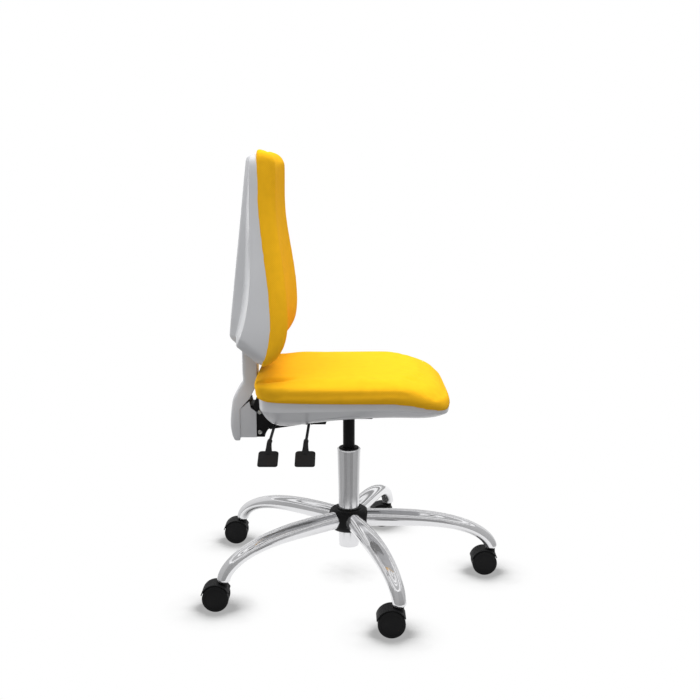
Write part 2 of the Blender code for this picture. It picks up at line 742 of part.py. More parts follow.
def mechanism_housing():
    """A folded steel channel: a socket for the gas tube, an open rear for the brackets, ears for the levers."""
    outline = [
        (HOUSING_NOSE, HOUSING_TOP),
        (HOUSING_NOSE, HOUSING_LOW + HOUSING_CHIN_RISE),
        (HOUSING_CHIN, HOUSING_LOW),
        (-HOUSING_STEP, HOUSING_LOW),
        (-HOUSING_STEP - HOUSING_STEP_RUN, HOUSING_LOW - HOUSING_STEP_DROP),
        (-HOUSING_HEEL, HOUSING_LOW - HOUSING_STEP_DROP),
        (-HOUSING_TAIL, HOUSING_LOW - HOUSING_TAIL_DROP),
        (-HOUSING_TAIL, HOUSING_LOW - HOUSING_TAIL_DROP + HOUSING_TAIL_HEIGHT),
        (-HOUSING_SHOULDER, HOUSING_LOW + HOUSING_SHOULDER_RISE),
        (-HOUSING_SHOULDER, HOUSING_TOP),
    ]
    past = HOUSING_TAIL + HOUSING_NOSE
    channel = [
        (HOUSING_NOSE - HOUSING_WALL, HOUSING_TOP + past),
        (HOUSING_NOSE - HOUSING_WALL, HOUSING_LOW + HOUSING_CHIN_RISE + HOUSING_WALL / 2),
        (HOUSING_CHIN - HOUSING_WALL / 2, HOUSING_LOW + HOUSING_WALL),
        (-HOUSING_STEP, HOUSING_LOW + HOUSING_WALL),
        (-HOUSING_STEP, HOUSING_LOW - past),
        (-past, HOUSING_LOW - past),
        (-past, HOUSING_TOP + past),
    ]
    wall = HOUSING_HALF_WIDTH
    inner = wall - HOUSING_WALL
    body = carved(slab(outline, "Y", -wall, wall), [slab(channel, "Y", -inner, inner)])
    seat = TUBE_TOP + CLEARANCE
    socket = [(SOCKET_RADIUS, HOUSING_LOW + HOUSING_WALL / 2), (SOCKET_RADIUS, seat + HOUSING_WALL)]
    additions = [turned(socket)]
    cuts = [turned([(TUBE_RADIUS + CLEARANCE, HOUSING_LOW - past), (TUBE_RADIUS + CLEARANCE, seat)])]
    shaft_hole = turned([(SHAFT_RADIUS + CLEARANCE, -past), (SHAFT_RADIUS + CLEARANCE, past)], 16, axis="Y")
    cuts.append(moved(shaft_hole, PIVOT_X, 0, PIVOT_Z))
    for lever_x in LEVER_XS.values():
        for side in (-1, 1):
            ends = sorted((lever_x + side * EAR_INNER, lever_x + side * (EAR_INNER + EAR_THICKNESS)))
            low = (ends[0], -wall - EAR_LENGTH, LEVER_Z - EAR_HALF_HEIGHT)
            additions.append(block(low, (ends[1], -wall + HOUSING_WALL / 2, LEVER_Z + EAR_HALF_HEIGHT)))
        reach = EAR_INNER + 2 * EAR_THICKNESS
        hole = [(LEVER_PIN_RADIUS + CLEARANCE, -reach), (LEVER_PIN_RADIUS + CLEARANCE, reach)]
        cuts.append(moved(turned(hole, 10, axis="X"), lever_x, LEVER_Y, LEVER_Z))
    return carved(joined(body, additions), cuts)


def tilt_shaft():
    """The pin across the housing that the back turns on."""
    inner = HOUSING_HALF_WIDTH + CLEARANCE
    outer = inner + SHAFT_HEAD
    profile = [(SHAFT_HEAD_RADIUS, -outer), (SHAFT_HEAD_RADIUS, -inner), (SHAFT_RADIUS, -inner)]
    profile += [(radius, -along) for radius, along in reversed(profile)]
    return moved(turned(profile, 16, axis="Y"), PIVOT_X, 0, PIVOT_Z)


def tilt_spring():
    """A coil round the shaft, which brings the back upright."""
    path_radius = (SHAFT_RADIUS + CLEARANCE + SPRING_WIRE) / math.cos(math.pi / SPRING_STEPS)
    count = SPRING_TURNS * SPRING_STEPS
    rings = []
    middles = []
    for step in range(count + 1):
        angle = 2 * math.pi * step / SPRING_STEPS
        along = blend(-SPRING_HALF_LENGTH, SPRING_HALF_LENGTH, step / count)
        out = Vector((math.cos(angle), 0.0, math.sin(angle)))
        middle = Vector((PIVOT_X, along, PIVOT_Z)) + path_radius * out
        turns = [2 * math.pi * side / SPRING_SIDES for side in range(SPRING_SIDES)]
        side = Vector((0, 1, 0))
        rings.append([middle + SPRING_WIRE * (math.cos(a) * out + math.sin(a) * side) for a in turns])
        middles.append(middle)
    apart = min((middles[i + SPRING_STEPS] - middles[i]).length for i in range(count + 1 - SPRING_STEPS))
    print(f"tilt spring, least gap between turns: {1000 * (apart - 2 * SPRING_WIRE):.2f} mm")
    return skin(rings)


def seat_plate():
    corner = PLATE_CORNER
    outline = []
    left = [(PLATE_FRONT, 1, -1, 1), (-PLATE_REAR, 1, 1, 1)]
    right = [(-PLATE_REAR, -1, 1, -1), (PLATE_FRONT, -1, -1, -1)]
    for x, y, dx, dy in left + right:
        ends = [(x, dy * (PLATE_HALF_WIDTH - corner)), (x + dx * corner, y * PLATE_HALF_WIDTH)]
        outline += ends if dx * dy < 0 else ends[::-1]
    return slab(outline, "Z", PLATE_LOW, PLATE_LOW + PLATE_THICKNESS)


# Levers

def lever_rod(x):
    """A round rod out to the side, with a cross pin between the housing's ears."""
    ends = (LEVER_Y - LEVER_REACH, LEVER_Y + LEVER_TAIL)
    rod = turned([(LEVER_ROD_RADIUS, end) for end in ends], 12, axis="Y")
    reach = EAR_INNER + EAR_THICKNESS
    pin = turned([(LEVER_PIN_RADIUS, -reach), (LEVER_PIN_RADIUS, reach)], 10, axis="X")
    return joined(moved(rod, x, 0, LEVER_Z), [moved(pin, x, LEVER_Y, LEVER_Z)])


def lever_paddle(x):
    """A flat drooping paddle on a neck that is pushed over the rod's end."""
    half, corner = PADDLE_WIDTH / 2, PADDLE_CORNER
    outline = []
    for across, along, start in ((1, 0, 0), (-1, 0, 1), (-1, 1, 2), (1, 1, 3)):
        middle = (across * (half - corner), -blend(corner, PADDLE_LENGTH - corner, along))
        outline += arc(middle, corner, start * math.pi / 2, (start + 1) * math.pi / 2, 3)
    droop = Matrix.Rotation(PADDLE_DROOP, 4, "X")
    end_y = LEVER_Y - LEVER_REACH
    top = Vector((x, end_y - NECK_RUN, LEVER_Z - NECK_DROP))
    paddle = moved(slab(outline, "Z", -PADDLE_THICKNESS / 2, PADDLE_THICKNESS / 2), *top, turn=droop)
    inside = droop @ Vector((0, -NECK_ROOT, 0))
    stations = [
        (Vector((x, end_y + NECK_SLEEVE, LEVER_Z)), NECK_RADIUS, NECK_RADIUS, 0.0),
        (Vector((x, end_y, LEVER_Z)), NECK_RADIUS, NECK_RADIUS, PADDLE_DROOP / 2),
        (top + inside, NECK_ROOT_RADIUS, PADDLE_THICKNESS / 2 - CLEARANCE, PADDLE_DROOP),
    ]
    rings = []
    for middle, across, up, tilt in stations:
        turns = [2 * math.pi * side / 12 for side in range(12)]
        square = Vector((0, -math.sin(tilt), math.cos(tilt)))
        level = Vector((across, 0, 0))
        rings.append([middle + level * math.cos(a) + square * (up * math.sin(a)) for a in turns])
    hole = [(LEVER_ROD_RADIUS + CLEARANCE, end_y + run) for run in (-CLEARANCE, 2 * NECK_SLEEVE)]
    return carved(joined(paddle, [skin(rings)]), [moved(turned(hole, 12, axis="Y"), x, 0, LEVER_Z)])


# Seat

def superellipse(angle, power):
    """A point of a rounded square of half-width 1."""
    across, up = math.cos(angle), math.sin(angle)
    reach = (abs(across) ** power + abs(up) ** power) ** (-1 / power)
    return across * reach, up * reach


def by_side(angle, front, side, rear):
    """A value that changes evenly from the front to the sides and to the rear."""
    towards_front = smoothstep(FRONT_BLEND_START, FRONT_BLEND_END, max(0.0, math.cos(angle)) ** 2)
    towards_rear = max(0.0, -math.cos(angle)) ** 2
    return front * towards_front + rear * towards_rear + side * (1.0 - towards_front - towards_rear)


def seat_point(angle, inset):
    """A point on the seat's plan outline, moved in by the inset."""
    x, y = superellipse(angle, blend(SEAT_FRONT_POWER, SEAT_REAR_POWER, (1 - math.cos(angle)) / 2))
    return SEAT_X + (SEAT_DEPTH / 2 - inset) * x, (SEAT_WIDTH / 2 - inset) * y


def seat_ring(insets, heights):
    """A ring round the seat, from (front, side, rear) insets and heights."""
    ring = []
    for place in range(SEAT_SIDES):
        angle = 2 * math.pi * place / SEAT_SIDES
        ring.append((*seat_point(angle, by_side(angle, *insets)), by_side(angle, *heights)))
    return ring


def drawn_in(ring, share, height):
    """The ring moved towards the seat's middle by a share, at one height."""
    return [(blend(x, SEAT_X, share), blend(y, 0.0, share), height) for x, y, z in ring]


def seat_board():
    angles = [2 * math.pi * place / SEAT_SIDES for place in range(SEAT_SIDES)]
    outline = [seat_point(angle, BOARD_INSET) for angle in angles]
    return slab(outline, "Z", BOARD_LOW, BOARD_LOW + BOARD_THICKNESS)


def seat_cushion():
    """A crowned pad: flat on its board, drawn in at the seam, widest above it, with a long front roll."""
    flat = BOARD_INSET - SEAT_FLAT_EDGE
    bulges = (SEAT_BULGE_FRONT, SEAT_BULGE_SIDE, SEAT_BULGE_REAR)
    widest = [seam + bulge for seam, bulge in zip(SEAM_HEIGHTS, bulges)]
    rolls = (SEAT_ROLL_FRONT, SEAT_ROLL_SIDE, SEAT_ROLL_REAR)
    rings = [
        seat_ring((flat, flat, flat), (SEAT_LOW, SEAT_LOW, SEAT_LOW)),
        seat_ring((SEAM_INSET_FRONT, SEAM_INSET_SIDE, SEAM_INSET_REAR), SEAM_HEIGHTS),
    ]
    for step in range(5):
        angle = step * math.pi / 8
        insets = [roll * (1 - math.cos(angle)) for roll in rolls]
        rings.append(seat_ring(insets, [blend(low, SEAT_SHOULDER, math.sin(angle)) for low in widest]))
    for share in (0.3, 0.65):
        rings.append(drawn_in(rings[6], share, SEAT_SHOULDER + SEAT_CROWN * math.sin(share * math.pi / 2)))
    rings.append([(SEAT_X, 0.0, SEAT_SHOULDER + SEAT_CROWN)])
    return skin(rings)


def shell_floor(x):
    """Height of the seat shell's underside, which sinks towards the rear."""
    return SEAT_LOW - SHELL_FLOOR_DROP + SHELL_FLOOR_SLOPE * x - SHELL_FLOOR_BOW * x * x


def shell_rings(wall):
    """Rings of the seat shell from its rim down to its middle, on the face that lies one wall further in."""
    steps = (
        (1.00, SHELL_RIM_INSETS),
        (0.65, SHELL_LINE_INSETS),
        (0.27, SHELL_TURN_INSETS),
        (0.03, SHELL_FLAT_INSETS),
    )
    rings = []
    for share, insets in steps:
        ring = []
        for place in range(SEAT_SIDES):
            angle = 2 * math.pi * place / SEAT_SIDES
            x, y = seat_point(angle, by_side(angle, *insets) + wall)
            rim = by_side(angle, *SEAM_HEIGHTS) - SHELL_GAP
            ring.append((x, y, blend(shell_floor(x) + wall, rim, share)))
        rings.append(ring)
    middle = [(blend(x, SEAT_X, 0.5), blend(y, 0.0, 0.5)) for x, y, z in rings[-1]]
    rings.append([(x, y, shell_floor(x) + wall) for x, y in middle])
    rings.append([(SEAT_X, 0.0, shell_floor(SEAT_X) + wall)])
    return rings


def seat_shell():
    """The moulded pan under the seat, with a slot for the mechanism and the brackets."""
    pan = skin(shell_rings(0.0)[::-1] + shell_rings(SHELL_WALL))
    low = (SEAT_REAR - SEAT_DEPTH, -SHELL_SLOT_HALF_WIDTH, SEAT_LOW - SEAT_DEPTH)
    high = (HOUSING_NOSE + SHELL_SLOT_ROOM, SHELL_SLOT_HALF_WIDTH, HOUSING_TOP - SHELL_SLOT_TOP)
    return carved(pan, [block(low, high)])


# Back support

def back_bar():
    """A flat upright bar, welded to a box foot between the brackets."""
    bar_low = (BAR_REAR, -BAR_HALF_WIDTH, PIVOT_Z - BAR_FOOT_DROP)
    bar = block(bar_low, (BAR_FRONT, BAR_HALF_WIDTH, BACK_LOW + BAR_IN_BACK))
    low_x, high_x = BAR_FRONT - FOOT_WELD, BAR_FRONT + FOOT_LENGTH
    low_z = PIVOT_Z - FOOT_DROP
    high_z = low_z + FOOT_HEIGHT
    foot = block((low_x, -FOOT_HALF_WIDTH, low_z), (high_x, FOOT_HALF_WIDTH, high_z))
    room_low = (BAR_FRONT + FOOT_WALL, -2 * FOOT_HALF_WIDTH, low_z + FOOT_WALL)
    room_high = (high_x - FOOT_WALL, 2 * FOOT_HALF_WIDTH, high_z - FOOT_WALL)
    return joined(bar, [carved(foot, [block(room_low, room_high)])])


def bolt_x():
    return BAR_FRONT + FOOT_LENGTH - BOLT_FROM_FOOT_END


def bracket_plate(side):
    """A steel cheek from the tilt shaft back to the bar's foot."""
    eye = (PIVOT_X, PIVOT_Z)
    outline = [
        (BAR_FRONT + BRACKET_HEEL, PIVOT_Z - BRACKET_DROP),
        (BAR_FRONT + BRACKET_BACK, PIVOT_Z + BRACKET_BACK_RISE),
        (BAR_FRONT + FOOT_LENGTH / 2, PIVOT_Z + BRACKET_RISE),
        (BAR_FRONT + FOOT_LENGTH, PIVOT_Z + BRACKET_RISE),
    ]
    outline += arc(eye, BRACKET_EYE_RADIUS, math.radians(85), math.radians(-130), 10)
    outline += [
        (BAR_FRONT + FOOT_LENGTH + BRACKET_KNEE, PIVOT_Z - BRACKET_KNEE_DROP),
        (BAR_FRONT + FOOT_LENGTH - BRACKET_HEEL, PIVOT_Z - BRACKET_DROP),
    ]
    ends = sorted((side * BRACKET_INNER, side * BRACKET_OUTER))
    past = 2 * BRACKET_OUTER
    shaft = turned([(SHAFT_RADIUS + CLEARANCE, -past), (SHAFT_RADIUS + CLEARANCE, past)], 16, axis="Y")
    holes = [moved(shaft, eye[0], 0, eye[1])]
    for rise in BOLT_RISES.values():
        hole = turned([(BOLT_RADIUS + CLEARANCE, -past), (BOLT_RADIUS + CLEARANCE, past)], 12, axis="Y")
        holes.append(moved(hole, bolt_x(), 0, PIVOT_Z + rise))
    return carved(slab(outline, "Y", *ends), holes)


def bracket_bolt(rise):
    """A bolt through both cheeks, with its head on one side and its nut on the other."""
    inner = BRACKET_OUTER + CLEARANCE
    outer = inner + BOLT_HEAD
    profile = [(BOLT_HEAD_RADIUS, -outer), (BOLT_HEAD_RADIUS, -inner), (BOLT_RADIUS, -inner)]
    profile += [(radius, -along) for radius, along in reversed(profile)]
    return moved(turned(profile, 12, axis="Y"), bolt_x(), 0, PIVOT_Z + rise)


def side_cover():
    """A cover over the cheeks, open to the front, the top and the bottom."""
    rear = BAR_REAR - COVER_JOINT
    low = PIVOT_Z - COVER_DROP
    outline = [
        (rear, low),
        (BAR_FRONT + COVER_FRONT, low),
        (BAR_FRONT + COVER_FRONT, PIVOT_Z + COVER_FRONT_RISE),
        (BAR_FRONT + COVER_BROW, PIVOT_Z + COVER_BROW_RISE),
        (BAR_FRONT + COVER_PEAK, PIVOT_Z + COVER_PEAK_RISE),
        (rear, PIVOT_Z + COVER_JOINT_RISE),
    ]
    inner = BRACKET_OUTER + CLEARANCE
    outer = inner + COVER_CHEEK
    room_low = (rear + COVER_REAR_WALL, -inner, low - COVER_DROP)
    room_high = (BAR_FRONT + 2 * COVER_FRONT, inner, PIVOT_Z + 2 * COVER_PEAK_RISE)
    return carved(slab(outline, "Y", -outer, outer), [block(room_low, room_high)])


def bar_cover():
    """The moulded cover behind the bar: a wide cap at the foot that narrows into a neck round the bar."""
    joint = BAR_REAR - COVER_JOINT - CLEARANCE
    root_front, shoulder_front = BAR_FRONT + NECK_ROOT_FRONT, BAR_FRONT + CAP_SHOULDER_FRONT
    sections = [
        (BACK_LOW + NECK_IN_BACK, NECK_FRONT_X, NECK_REAR_X, NECK_HALF_WIDTH),
        (PIVOT_Z + NECK_RISE, NECK_FRONT_X, NECK_REAR_X, NECK_HALF_WIDTH),
        (PIVOT_Z + NECK_ROOT_RISE, root_front, BAR_REAR - NECK_ROOT_BACK, NECK_ROOT_HALF_WIDTH),
        (PIVOT_Z + CAP_SHOULDER_RISE, shoulder_front, BAR_REAR - CAP_SHOULDER_BACK, CAP_SHOULDER_HALF_WIDTH),
        (PIVOT_Z + COVER_JOINT_RISE, joint, BAR_REAR - CAP_JOINT_BACK, CAP_JOINT_HALF_WIDTH),
        (PIVOT_Z - CAP_BELLY_DROP, joint, BAR_REAR - CAP_BELLY_BACK, CAP_HALF_WIDTH),
        (PIVOT_Z - CAP_DROP, joint - CAP_HEEL_FRONT, BAR_REAR - CAP_HEEL_BACK, CAP_HEEL_HALF_WIDTH),
    ]
    rings = []
    for height, front, rear, half in sections:
        edge, curve = CAP_EDGE, 2 * CAP_EDGE
        corners = [(front, half - edge), (front - edge, half), (rear + curve, half), (rear, half - curve)]
        corners += [(x, -y) for x, y in reversed(corners)]
        rings.append([(x, y, height) for x, y in corners])
    past = BACK_HEIGHT
    room_low = (BAR_REAR - CLEARANCE, -NECK_HALF_WIDTH + NECK_WALL, PIVOT_Z - past)
    room_high = (NECK_FRONT_X - NECK_WALL, NECK_HALF_WIDTH - NECK_WALL, BACK_TOP + past)
    return carved(skin(rings), [block(room_low, room_high)])


# Backrest

def rounded(share):
    """Height of a quarter circle, from 0 at its edge to 1."""
    return math.sqrt(1.0 - (1.0 - min(1.0, max(0.0, share))) ** 2)


def back_width(rise):
    """Half the back's width without its round corners, by height above its lower edge."""
    return blend(BACK_SEAT_WIDTH, BACK_TOP_WIDTH, smoothstep(TAPER_START, TAPER_END, rise)) / 2


def seam_x(rise):
    """The seam line's place: it leans back towards the top and tucks back under the lower edge."""
    tuck = max(0.0, LEAN_START - rise) / LEAN_START
    return BACK_X - LEAN * smoothstep(LEAN_START, LEAN_END, rise) - TUCK * tuck * tuck


def corner_share(level):
    """How much of the full width is left at a level from -1, the bottom, to 1, the top."""
    power = BACK_TOP_POWER if level > 0 else BACK_BOTTOM_POWER
    return (1.0 - abs(level) ** power) ** (1.0 / power)


def back_levels():
    """Levels from -1 to 1, ends left out, closer together in the round corners."""
    last = BACK_CORNER_STEPS - 1
    turns = [math.sin(math.radians(blend(40, 88, step / last))) for step in range(BACK_CORNER_STEPS)]
    low = [-turn ** (2 / BACK_BOTTOM_POWER) for turn in reversed(turns)]
    high = [turn ** (2 / BACK_TOP_POWER) for turn in turns]
    return low + [-0.7, -0.5, -0.3, -0.1, 0.1, 0.3, 0.5, 0.7, 0.85] + high


def back_cushion():
    """A pad with a flat rear, drawn-in sides, a soft roll all round and a shallow dish between two ridges."""
    rings = [[(seam_x(0.0), 0.0, BACK_LOW)]]
    for level in back_levels():
        rise = BACK_HEIGHT * (1 + level) / 2
        half = back_width(rise) * corner_share(level)
        seam = seam_x(rise)
        roll = rounded(rise / BACK_ROLL_BOTTOM) * rounded((BACK_HEIGHT - rise) / BACK_ROLL_TOP)
        bulge, depth = BACK_BULGE * roll, BACK_THICKNESS * roll
        below_top = BACK_HEIGHT - rise - SHELL_SHORT
        sunk = smoothstep(0.0, BACK_FLAT_BOTTOM, rise - SHELL_SHORT)
        sunk *= smoothstep(0.0, BACK_FLAT_TOP, below_top)
        points = [
            (seam - sunk * (BACK_BOARD_SETBACK - CLEARANCE), half - BACK_BOARD_INSET),
            (seam, half - BACK_DRAW_IN),
        ]
        for angle in (0, 35, 65, 90):
            turn = math.radians(angle)
            inset = BACK_ROLL_SIDE * (1 - math.cos(turn))
            points.append((seam + blend(bulge, depth, math.sin(turn)), half - inset))
        dish = BACK_DISH * roll
        points.append((seam + depth - dish * DISH_SIDE_DEPTH, DISH_SIDE * (half - BACK_ROLL_SIDE)))
        other = [(x, -y) for x, y in reversed(points)]
        points += [(seam + depth - dish, 0.0)] + other
        rings.append([(x, y, BACK_LOW + rise) for x, y in points])
    rings.append([(seam_x(BACK_HEIGHT), 0.0, BACK_TOP)])
    return skin(rings)


def back_board():
    """A curved board behind the pad."""
    rings = []
    for level in back_levels()[BOARD_LEVELS_BELOW:-BOARD_LEVELS_ABOVE]:
        rise = BACK_HEIGHT * (1 + level) / 2
        half = back_width(rise) * corner_share(level) - BACK_BOARD_INSET
        front = seam_x(rise) - BACK_BOARD_SETBACK
        rear = front - BACK_BOARD_THICKNESS
        corners = [(front, -half), (front, half), (rear, half), (rear, -half)]
        rings.append([(x, y, BACK_LOW + rise) for x, y in corners])
    return skin(rings)


def wing_depth(rise):
    """Depth of the shell's side wall: thin at the top and deep at the tail."""
    full = BACK_SHELL_HEIGHT - SHELL_TAIL_RISE
    share = max(0.0, (BACK_SHELL_HEIGHT - max(rise, SHELL_TAIL_RISE)) / full)
    return SHELL_EDGE_DEPTH + SHELL_WING_DEPTH * share ** SHELL_WING_POWER


def spine_x(rise):
    """The straight line of the shell's spine, which comes forward towards the top."""
    share = (rise - SPINE_LOW_RISE) / (SPINE_HIGH_RISE - SPINE_LOW_RISE)
    return blend(BAR_X - SPINE_BACK, BAR_X + SPINE_FORWARD, share)


def back_shell_loft(wall):
    """The shell's outer body, or with a wall the body that is taken out of it."""
    height = BACK_SHELL_HEIGHT
    rises = [SHELL_TAIL_RISE * share for share in SHELL_TAIL_STEPS]
    for step in range(SHELL_RISE_STEPS + 1):
        rises.append(blend(SPINE_TAIL_RISE, height - SHELL_TOP_ZONE, step / SHELL_RISE_STEPS))
    rises += [height - SHELL_TOP_ZONE * (1 - share) for share in SHELL_TOP_STEPS]
    squeeze = (height - 2 * wall) / height
    rings = []
    for rise in rises:
        level = 2 * rise / height - 1
        above = rise - SHELL_BELOW
        half = max(SPINE_TIP, back_width(above) * corner_share(level) - SHELL_NARROW) - wall
        rim = seam_x(above) - SHELL_RIM_BACK
        fade = math.sqrt(1 - max(0.0, level) ** SHELL_TOP_POWER)
        above_tail = SHELL_TAIL_SLOPE * rise
        side = max(0.0, min(wing_depth(rise), above_tail) * fade - wall)
        above_spine_tail = above_tail + SHELL_TAIL_SLOPE * SPINE_DROP
        spine = max(0.0, min(rim - spine_x(rise), above_spine_tail) * fade - wall)
        front = rim + (SHELL_OVERCUT if wall else 0.0)
        corners = [
            (front, half),
            (rim - side, half - SHELL_DRAFT),
            (rim - (side + spine) / 2, min(WING_EDGE, WING_EDGE_SHARE * half)),
            (rim - spine, min(SPINE_HALF_WIDTH, SPINE_SHARE * half)),
        ]
        corners += [(x, -y) for x, y in reversed(corners)]
        rings.append([(x, y, BACK_SHELL_LOW + wall + rise * squeeze) for x, y in corners])
    return skin(rings)


def back_shell():
    """The moulded shell behind the back, open to the pad, with a slot below for the neck."""
    neck = NECK_HALF_WIDTH + NECK_SLOT_ROOM
    slot_low = (NECK_REAR_X - NECK_SLOT_ROOM, -neck, BACK_SHELL_LOW - SHELL_TAIL_RISE)
    slot_high = (NECK_FRONT_X + NECK_SLOT_ROOM, neck, BACK_SHELL_LOW + SPINE_TAIL_RISE)
    return carved(back_shell_loft(0.0), [back_shell_loft(SHELL_WALL), block(slot_low, slot_high)])


def height_ratchet():
    """The carrier on the back board that slides on the bar."""
    low, high = RATCHET_LOW, RATCHET_LOW + RATCHET_LENGTH
    rear = BAR_REAR - CLEARANCE - RATCHET_WALL
    behind_board = BACK_BOARD_SETBACK + BACK_BOARD_THICKNESS + RATCHET_GAP
    rises = [blend(low, high, step / 4) for step in range(5)]
    outline = [(rear, BACK_LOW + high), (rear, BACK_LOW + low)]
    outline += [(seam_x(rise) - behind_board, BACK_LOW + rise) for rise in rises]
    half = RATCHET_HALF_WIDTH
    under, over = BACK_LOW, BACK_TOP
    slot_half = BAR_HALF_WIDTH + CLEARANCE
    slot_low = (BAR_REAR - CLEARANCE, -slot_half, under)
    slot = block(slot_low, (BAR_FRONT + CLEARANCE, slot_half, over))
    room_half = half - RATCHET_WALL
    room_front = min(x for x, z in outline[2:]) - RATCHET_WALL
    room = block((BAR_FRONT + RATCHET_WALL, -room_half, under), (room_front, room_half, over))
    return carved(slab(outline, "Y", -half, half), [slot, room])


# The whole chair

def build_base(root, finishes):
    chrome, black, steel = finishes["chrome"], finishes["black plastic"], finishes["steel"]
    piece("base_hub", base_hub(), steel, root)
    piece("hub_cover", hub_cover(), black, root)
    piece("column_tube", column_tube(), chrome, root)
    piece("column_bush", column_bush(), black, root)
    piece("thrust_bearing", thrust_bearing(), steel, root)
    shared = {"hood": castor_hood(), "stem": castor_stem(), "axle": castor_axle(), 1: wheel(1), -1: wheel(-1)}
    for place in range(LEG_COUNT):
        angle = 2 * math.pi * place / LEG_COUNT
        number = place + 1
        piece(f"leg_{number}", moved(leg(), turn=Matrix.Rotation(angle, 4, "Z")), chrome, root)
        spot = (BASE_RADIUS * math.cos(angle), BASE_RADIUS * math.sin(angle), 0.0)
        swivel = pivot(f"castor_{number}_swivel", spot, root)
        piece(f"castor_stem_{number}", shared["stem"], steel, swivel, local=True)
        piece(f"castor_hood_{number}", shared["hood"], black, swivel, local=True)
        axle = pivot(f"castor_{number}_axle", (spot[0] - CASTOR_TRAIL, spot[1], WHEEL_RADIUS), swivel)
        piece(f"castor_axle_{number}", shared["axle"], steel, axle, local=True)
        piece(f"castor_wheel_{number}_left", shared[1], black, axle, local=True)
        piece(f"castor_wheel_{number}_right", shared[-1], black, axle, local=True)


def build_seat(root, finishes):
    black, steel, dark = finishes["black plastic"], finishes["steel"], finishes["dark steel"]
    swivel = pivot("seat_swivel", (0.0, 0.0, COLUMN_LOW), root)
    piece("piston_rod", piston_rod(), steel, swivel)
    piece("rod_clip", rod_clip(), steel, swivel)
    lift = pivot("height_slide", (0.0, 0.0, TUBE_LOW), swivel)
    piece("gas_tube", gas_tube(), black, lift)
    piece("mechanism_housing", mechanism_housing(), dark, lift)
    piece("tilt_shaft", tilt_shaft(), steel, lift)
    piece("tilt_spring", tilt_spring(), steel, lift)
    piece("seat_plate", seat_plate(), dark, lift)
    piece("seat_board", seat_board(), finishes["plywood"], lift)
    piece("seat_shell", seat_shell(), finishes["grey shell"], lift)
    piece("seat_cushion", seat_cushion(), finishes["yellow fabric"], lift)
    for name, x in LEVER_XS.items():
        hinge = pivot(f"{name}_lever", (x, LEVER_Y, LEVER_Z), lift)
        piece(f"{name}_lever_rod", lever_rod(x), dark, hinge)
        piece(f"{name}_lever_paddle", lever_paddle(x), black, hinge)
    return lift


def build_back(lift, finishes):
    shell, dark = finishes["grey shell"], finishes["dark steel"]
    recline = pivot("recline", (PIVOT_X, 0.0, PIVOT_Z), lift)
    piece("back_bar", back_bar(), dark, recline)
    piece("bracket_plate_left", bracket_plate(1), dark, recline)
    piece("bracket_plate_right", bracket_plate(-1), dark, recline)
    for name, rise in BOLT_RISES.items():
        piece(f"bracket_bolt_{name}", bracket_bolt(rise), finishes["steel"], recline)
    piece("side_cover", side_cover(), shell, recline)
    piece("bar_cover", bar_cover(), shell, recline)
    slide = pivot("back_slide", (BAR_X, 0.0, BACK_LOW), recline)
    piece("back_cushion", back_cushion(), finishes["yellow fabric"], slide)
    piece("back_board", back_board(), finishes["plywood"], slide)
    piece("back_shell", back_shell(), shell, slide)
    piece("height_ratchet", height_ratchet(), finishes["black plastic"], slide)


def main():
    for obj in list(bpy.data.objects):
        bpy.data.objects.remove(obj)
    finishes = {
        "chrome": finish("chrome", (0.83, 0.83, 0.84), 0.08, 1.0),
        "steel": finish("steel", (0.55, 0.55, 0.56), 0.30, 1.0),
        "dark steel": finish("dark steel", (0.020, 0.020, 0.022), 0.50),
        "black plastic": finish("black plastic", (0.018, 0.018, 0.020), 0.40),
        "grey shell": finish("grey shell", (0.47, 0.48, 0.49), 0.45),
        "yellow fabric": finish("yellow fabric", (0.95, 0.50, 0.018), 0.85),
        "plywood": finish("plywood", (0.45, 0.30, 0.17), 0.70),
    }
    root = pivot("office_chair", (0.0, 0.0, 0.0))
    root.location.x = COLUMN_X
    build_base(root, finishes)
    build_back(build_seat(root, finishes), finishes)


main()
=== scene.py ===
"""Dresses an office chair's frame: woven upholstery, moulded shells, a chromed base and a plain studio.

Metres, +Z up, with the chair facing +X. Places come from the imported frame. The sizes and colours that
shape each piece stand in property groups, and each piece or group of like pieces has its own operator.
"""
import json
import math

import bmesh
import bpy
from bpy.props import FloatProperty, FloatVectorProperty, PointerProperty
from mathutils import Matrix, Vector


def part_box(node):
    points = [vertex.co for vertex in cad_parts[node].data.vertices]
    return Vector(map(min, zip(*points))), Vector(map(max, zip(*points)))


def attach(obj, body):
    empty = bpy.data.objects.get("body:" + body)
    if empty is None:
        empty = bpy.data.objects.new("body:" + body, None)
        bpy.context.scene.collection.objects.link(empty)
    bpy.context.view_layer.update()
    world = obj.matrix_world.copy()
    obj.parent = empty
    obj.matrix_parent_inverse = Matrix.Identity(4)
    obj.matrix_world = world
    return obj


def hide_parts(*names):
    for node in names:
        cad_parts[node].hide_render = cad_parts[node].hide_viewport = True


bl_info = {
    "name": "Office chair",
    "version": (1, 0, 0),
    "blender": (4, 5, 0),
    "location": "View3D > Sidebar > Office chair",
    "description": "Dresses an office chair's frame with upholstery, moulded shells, chrome and castors",
    "category": "Object",
}

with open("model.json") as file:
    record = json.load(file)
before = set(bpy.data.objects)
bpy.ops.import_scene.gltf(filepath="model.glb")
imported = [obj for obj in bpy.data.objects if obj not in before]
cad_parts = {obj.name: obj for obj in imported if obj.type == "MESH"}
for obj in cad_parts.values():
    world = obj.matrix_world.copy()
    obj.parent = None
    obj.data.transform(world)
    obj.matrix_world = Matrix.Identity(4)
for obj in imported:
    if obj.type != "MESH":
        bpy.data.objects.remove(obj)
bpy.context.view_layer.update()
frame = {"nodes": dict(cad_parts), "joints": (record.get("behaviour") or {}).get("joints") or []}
MM = 0.001

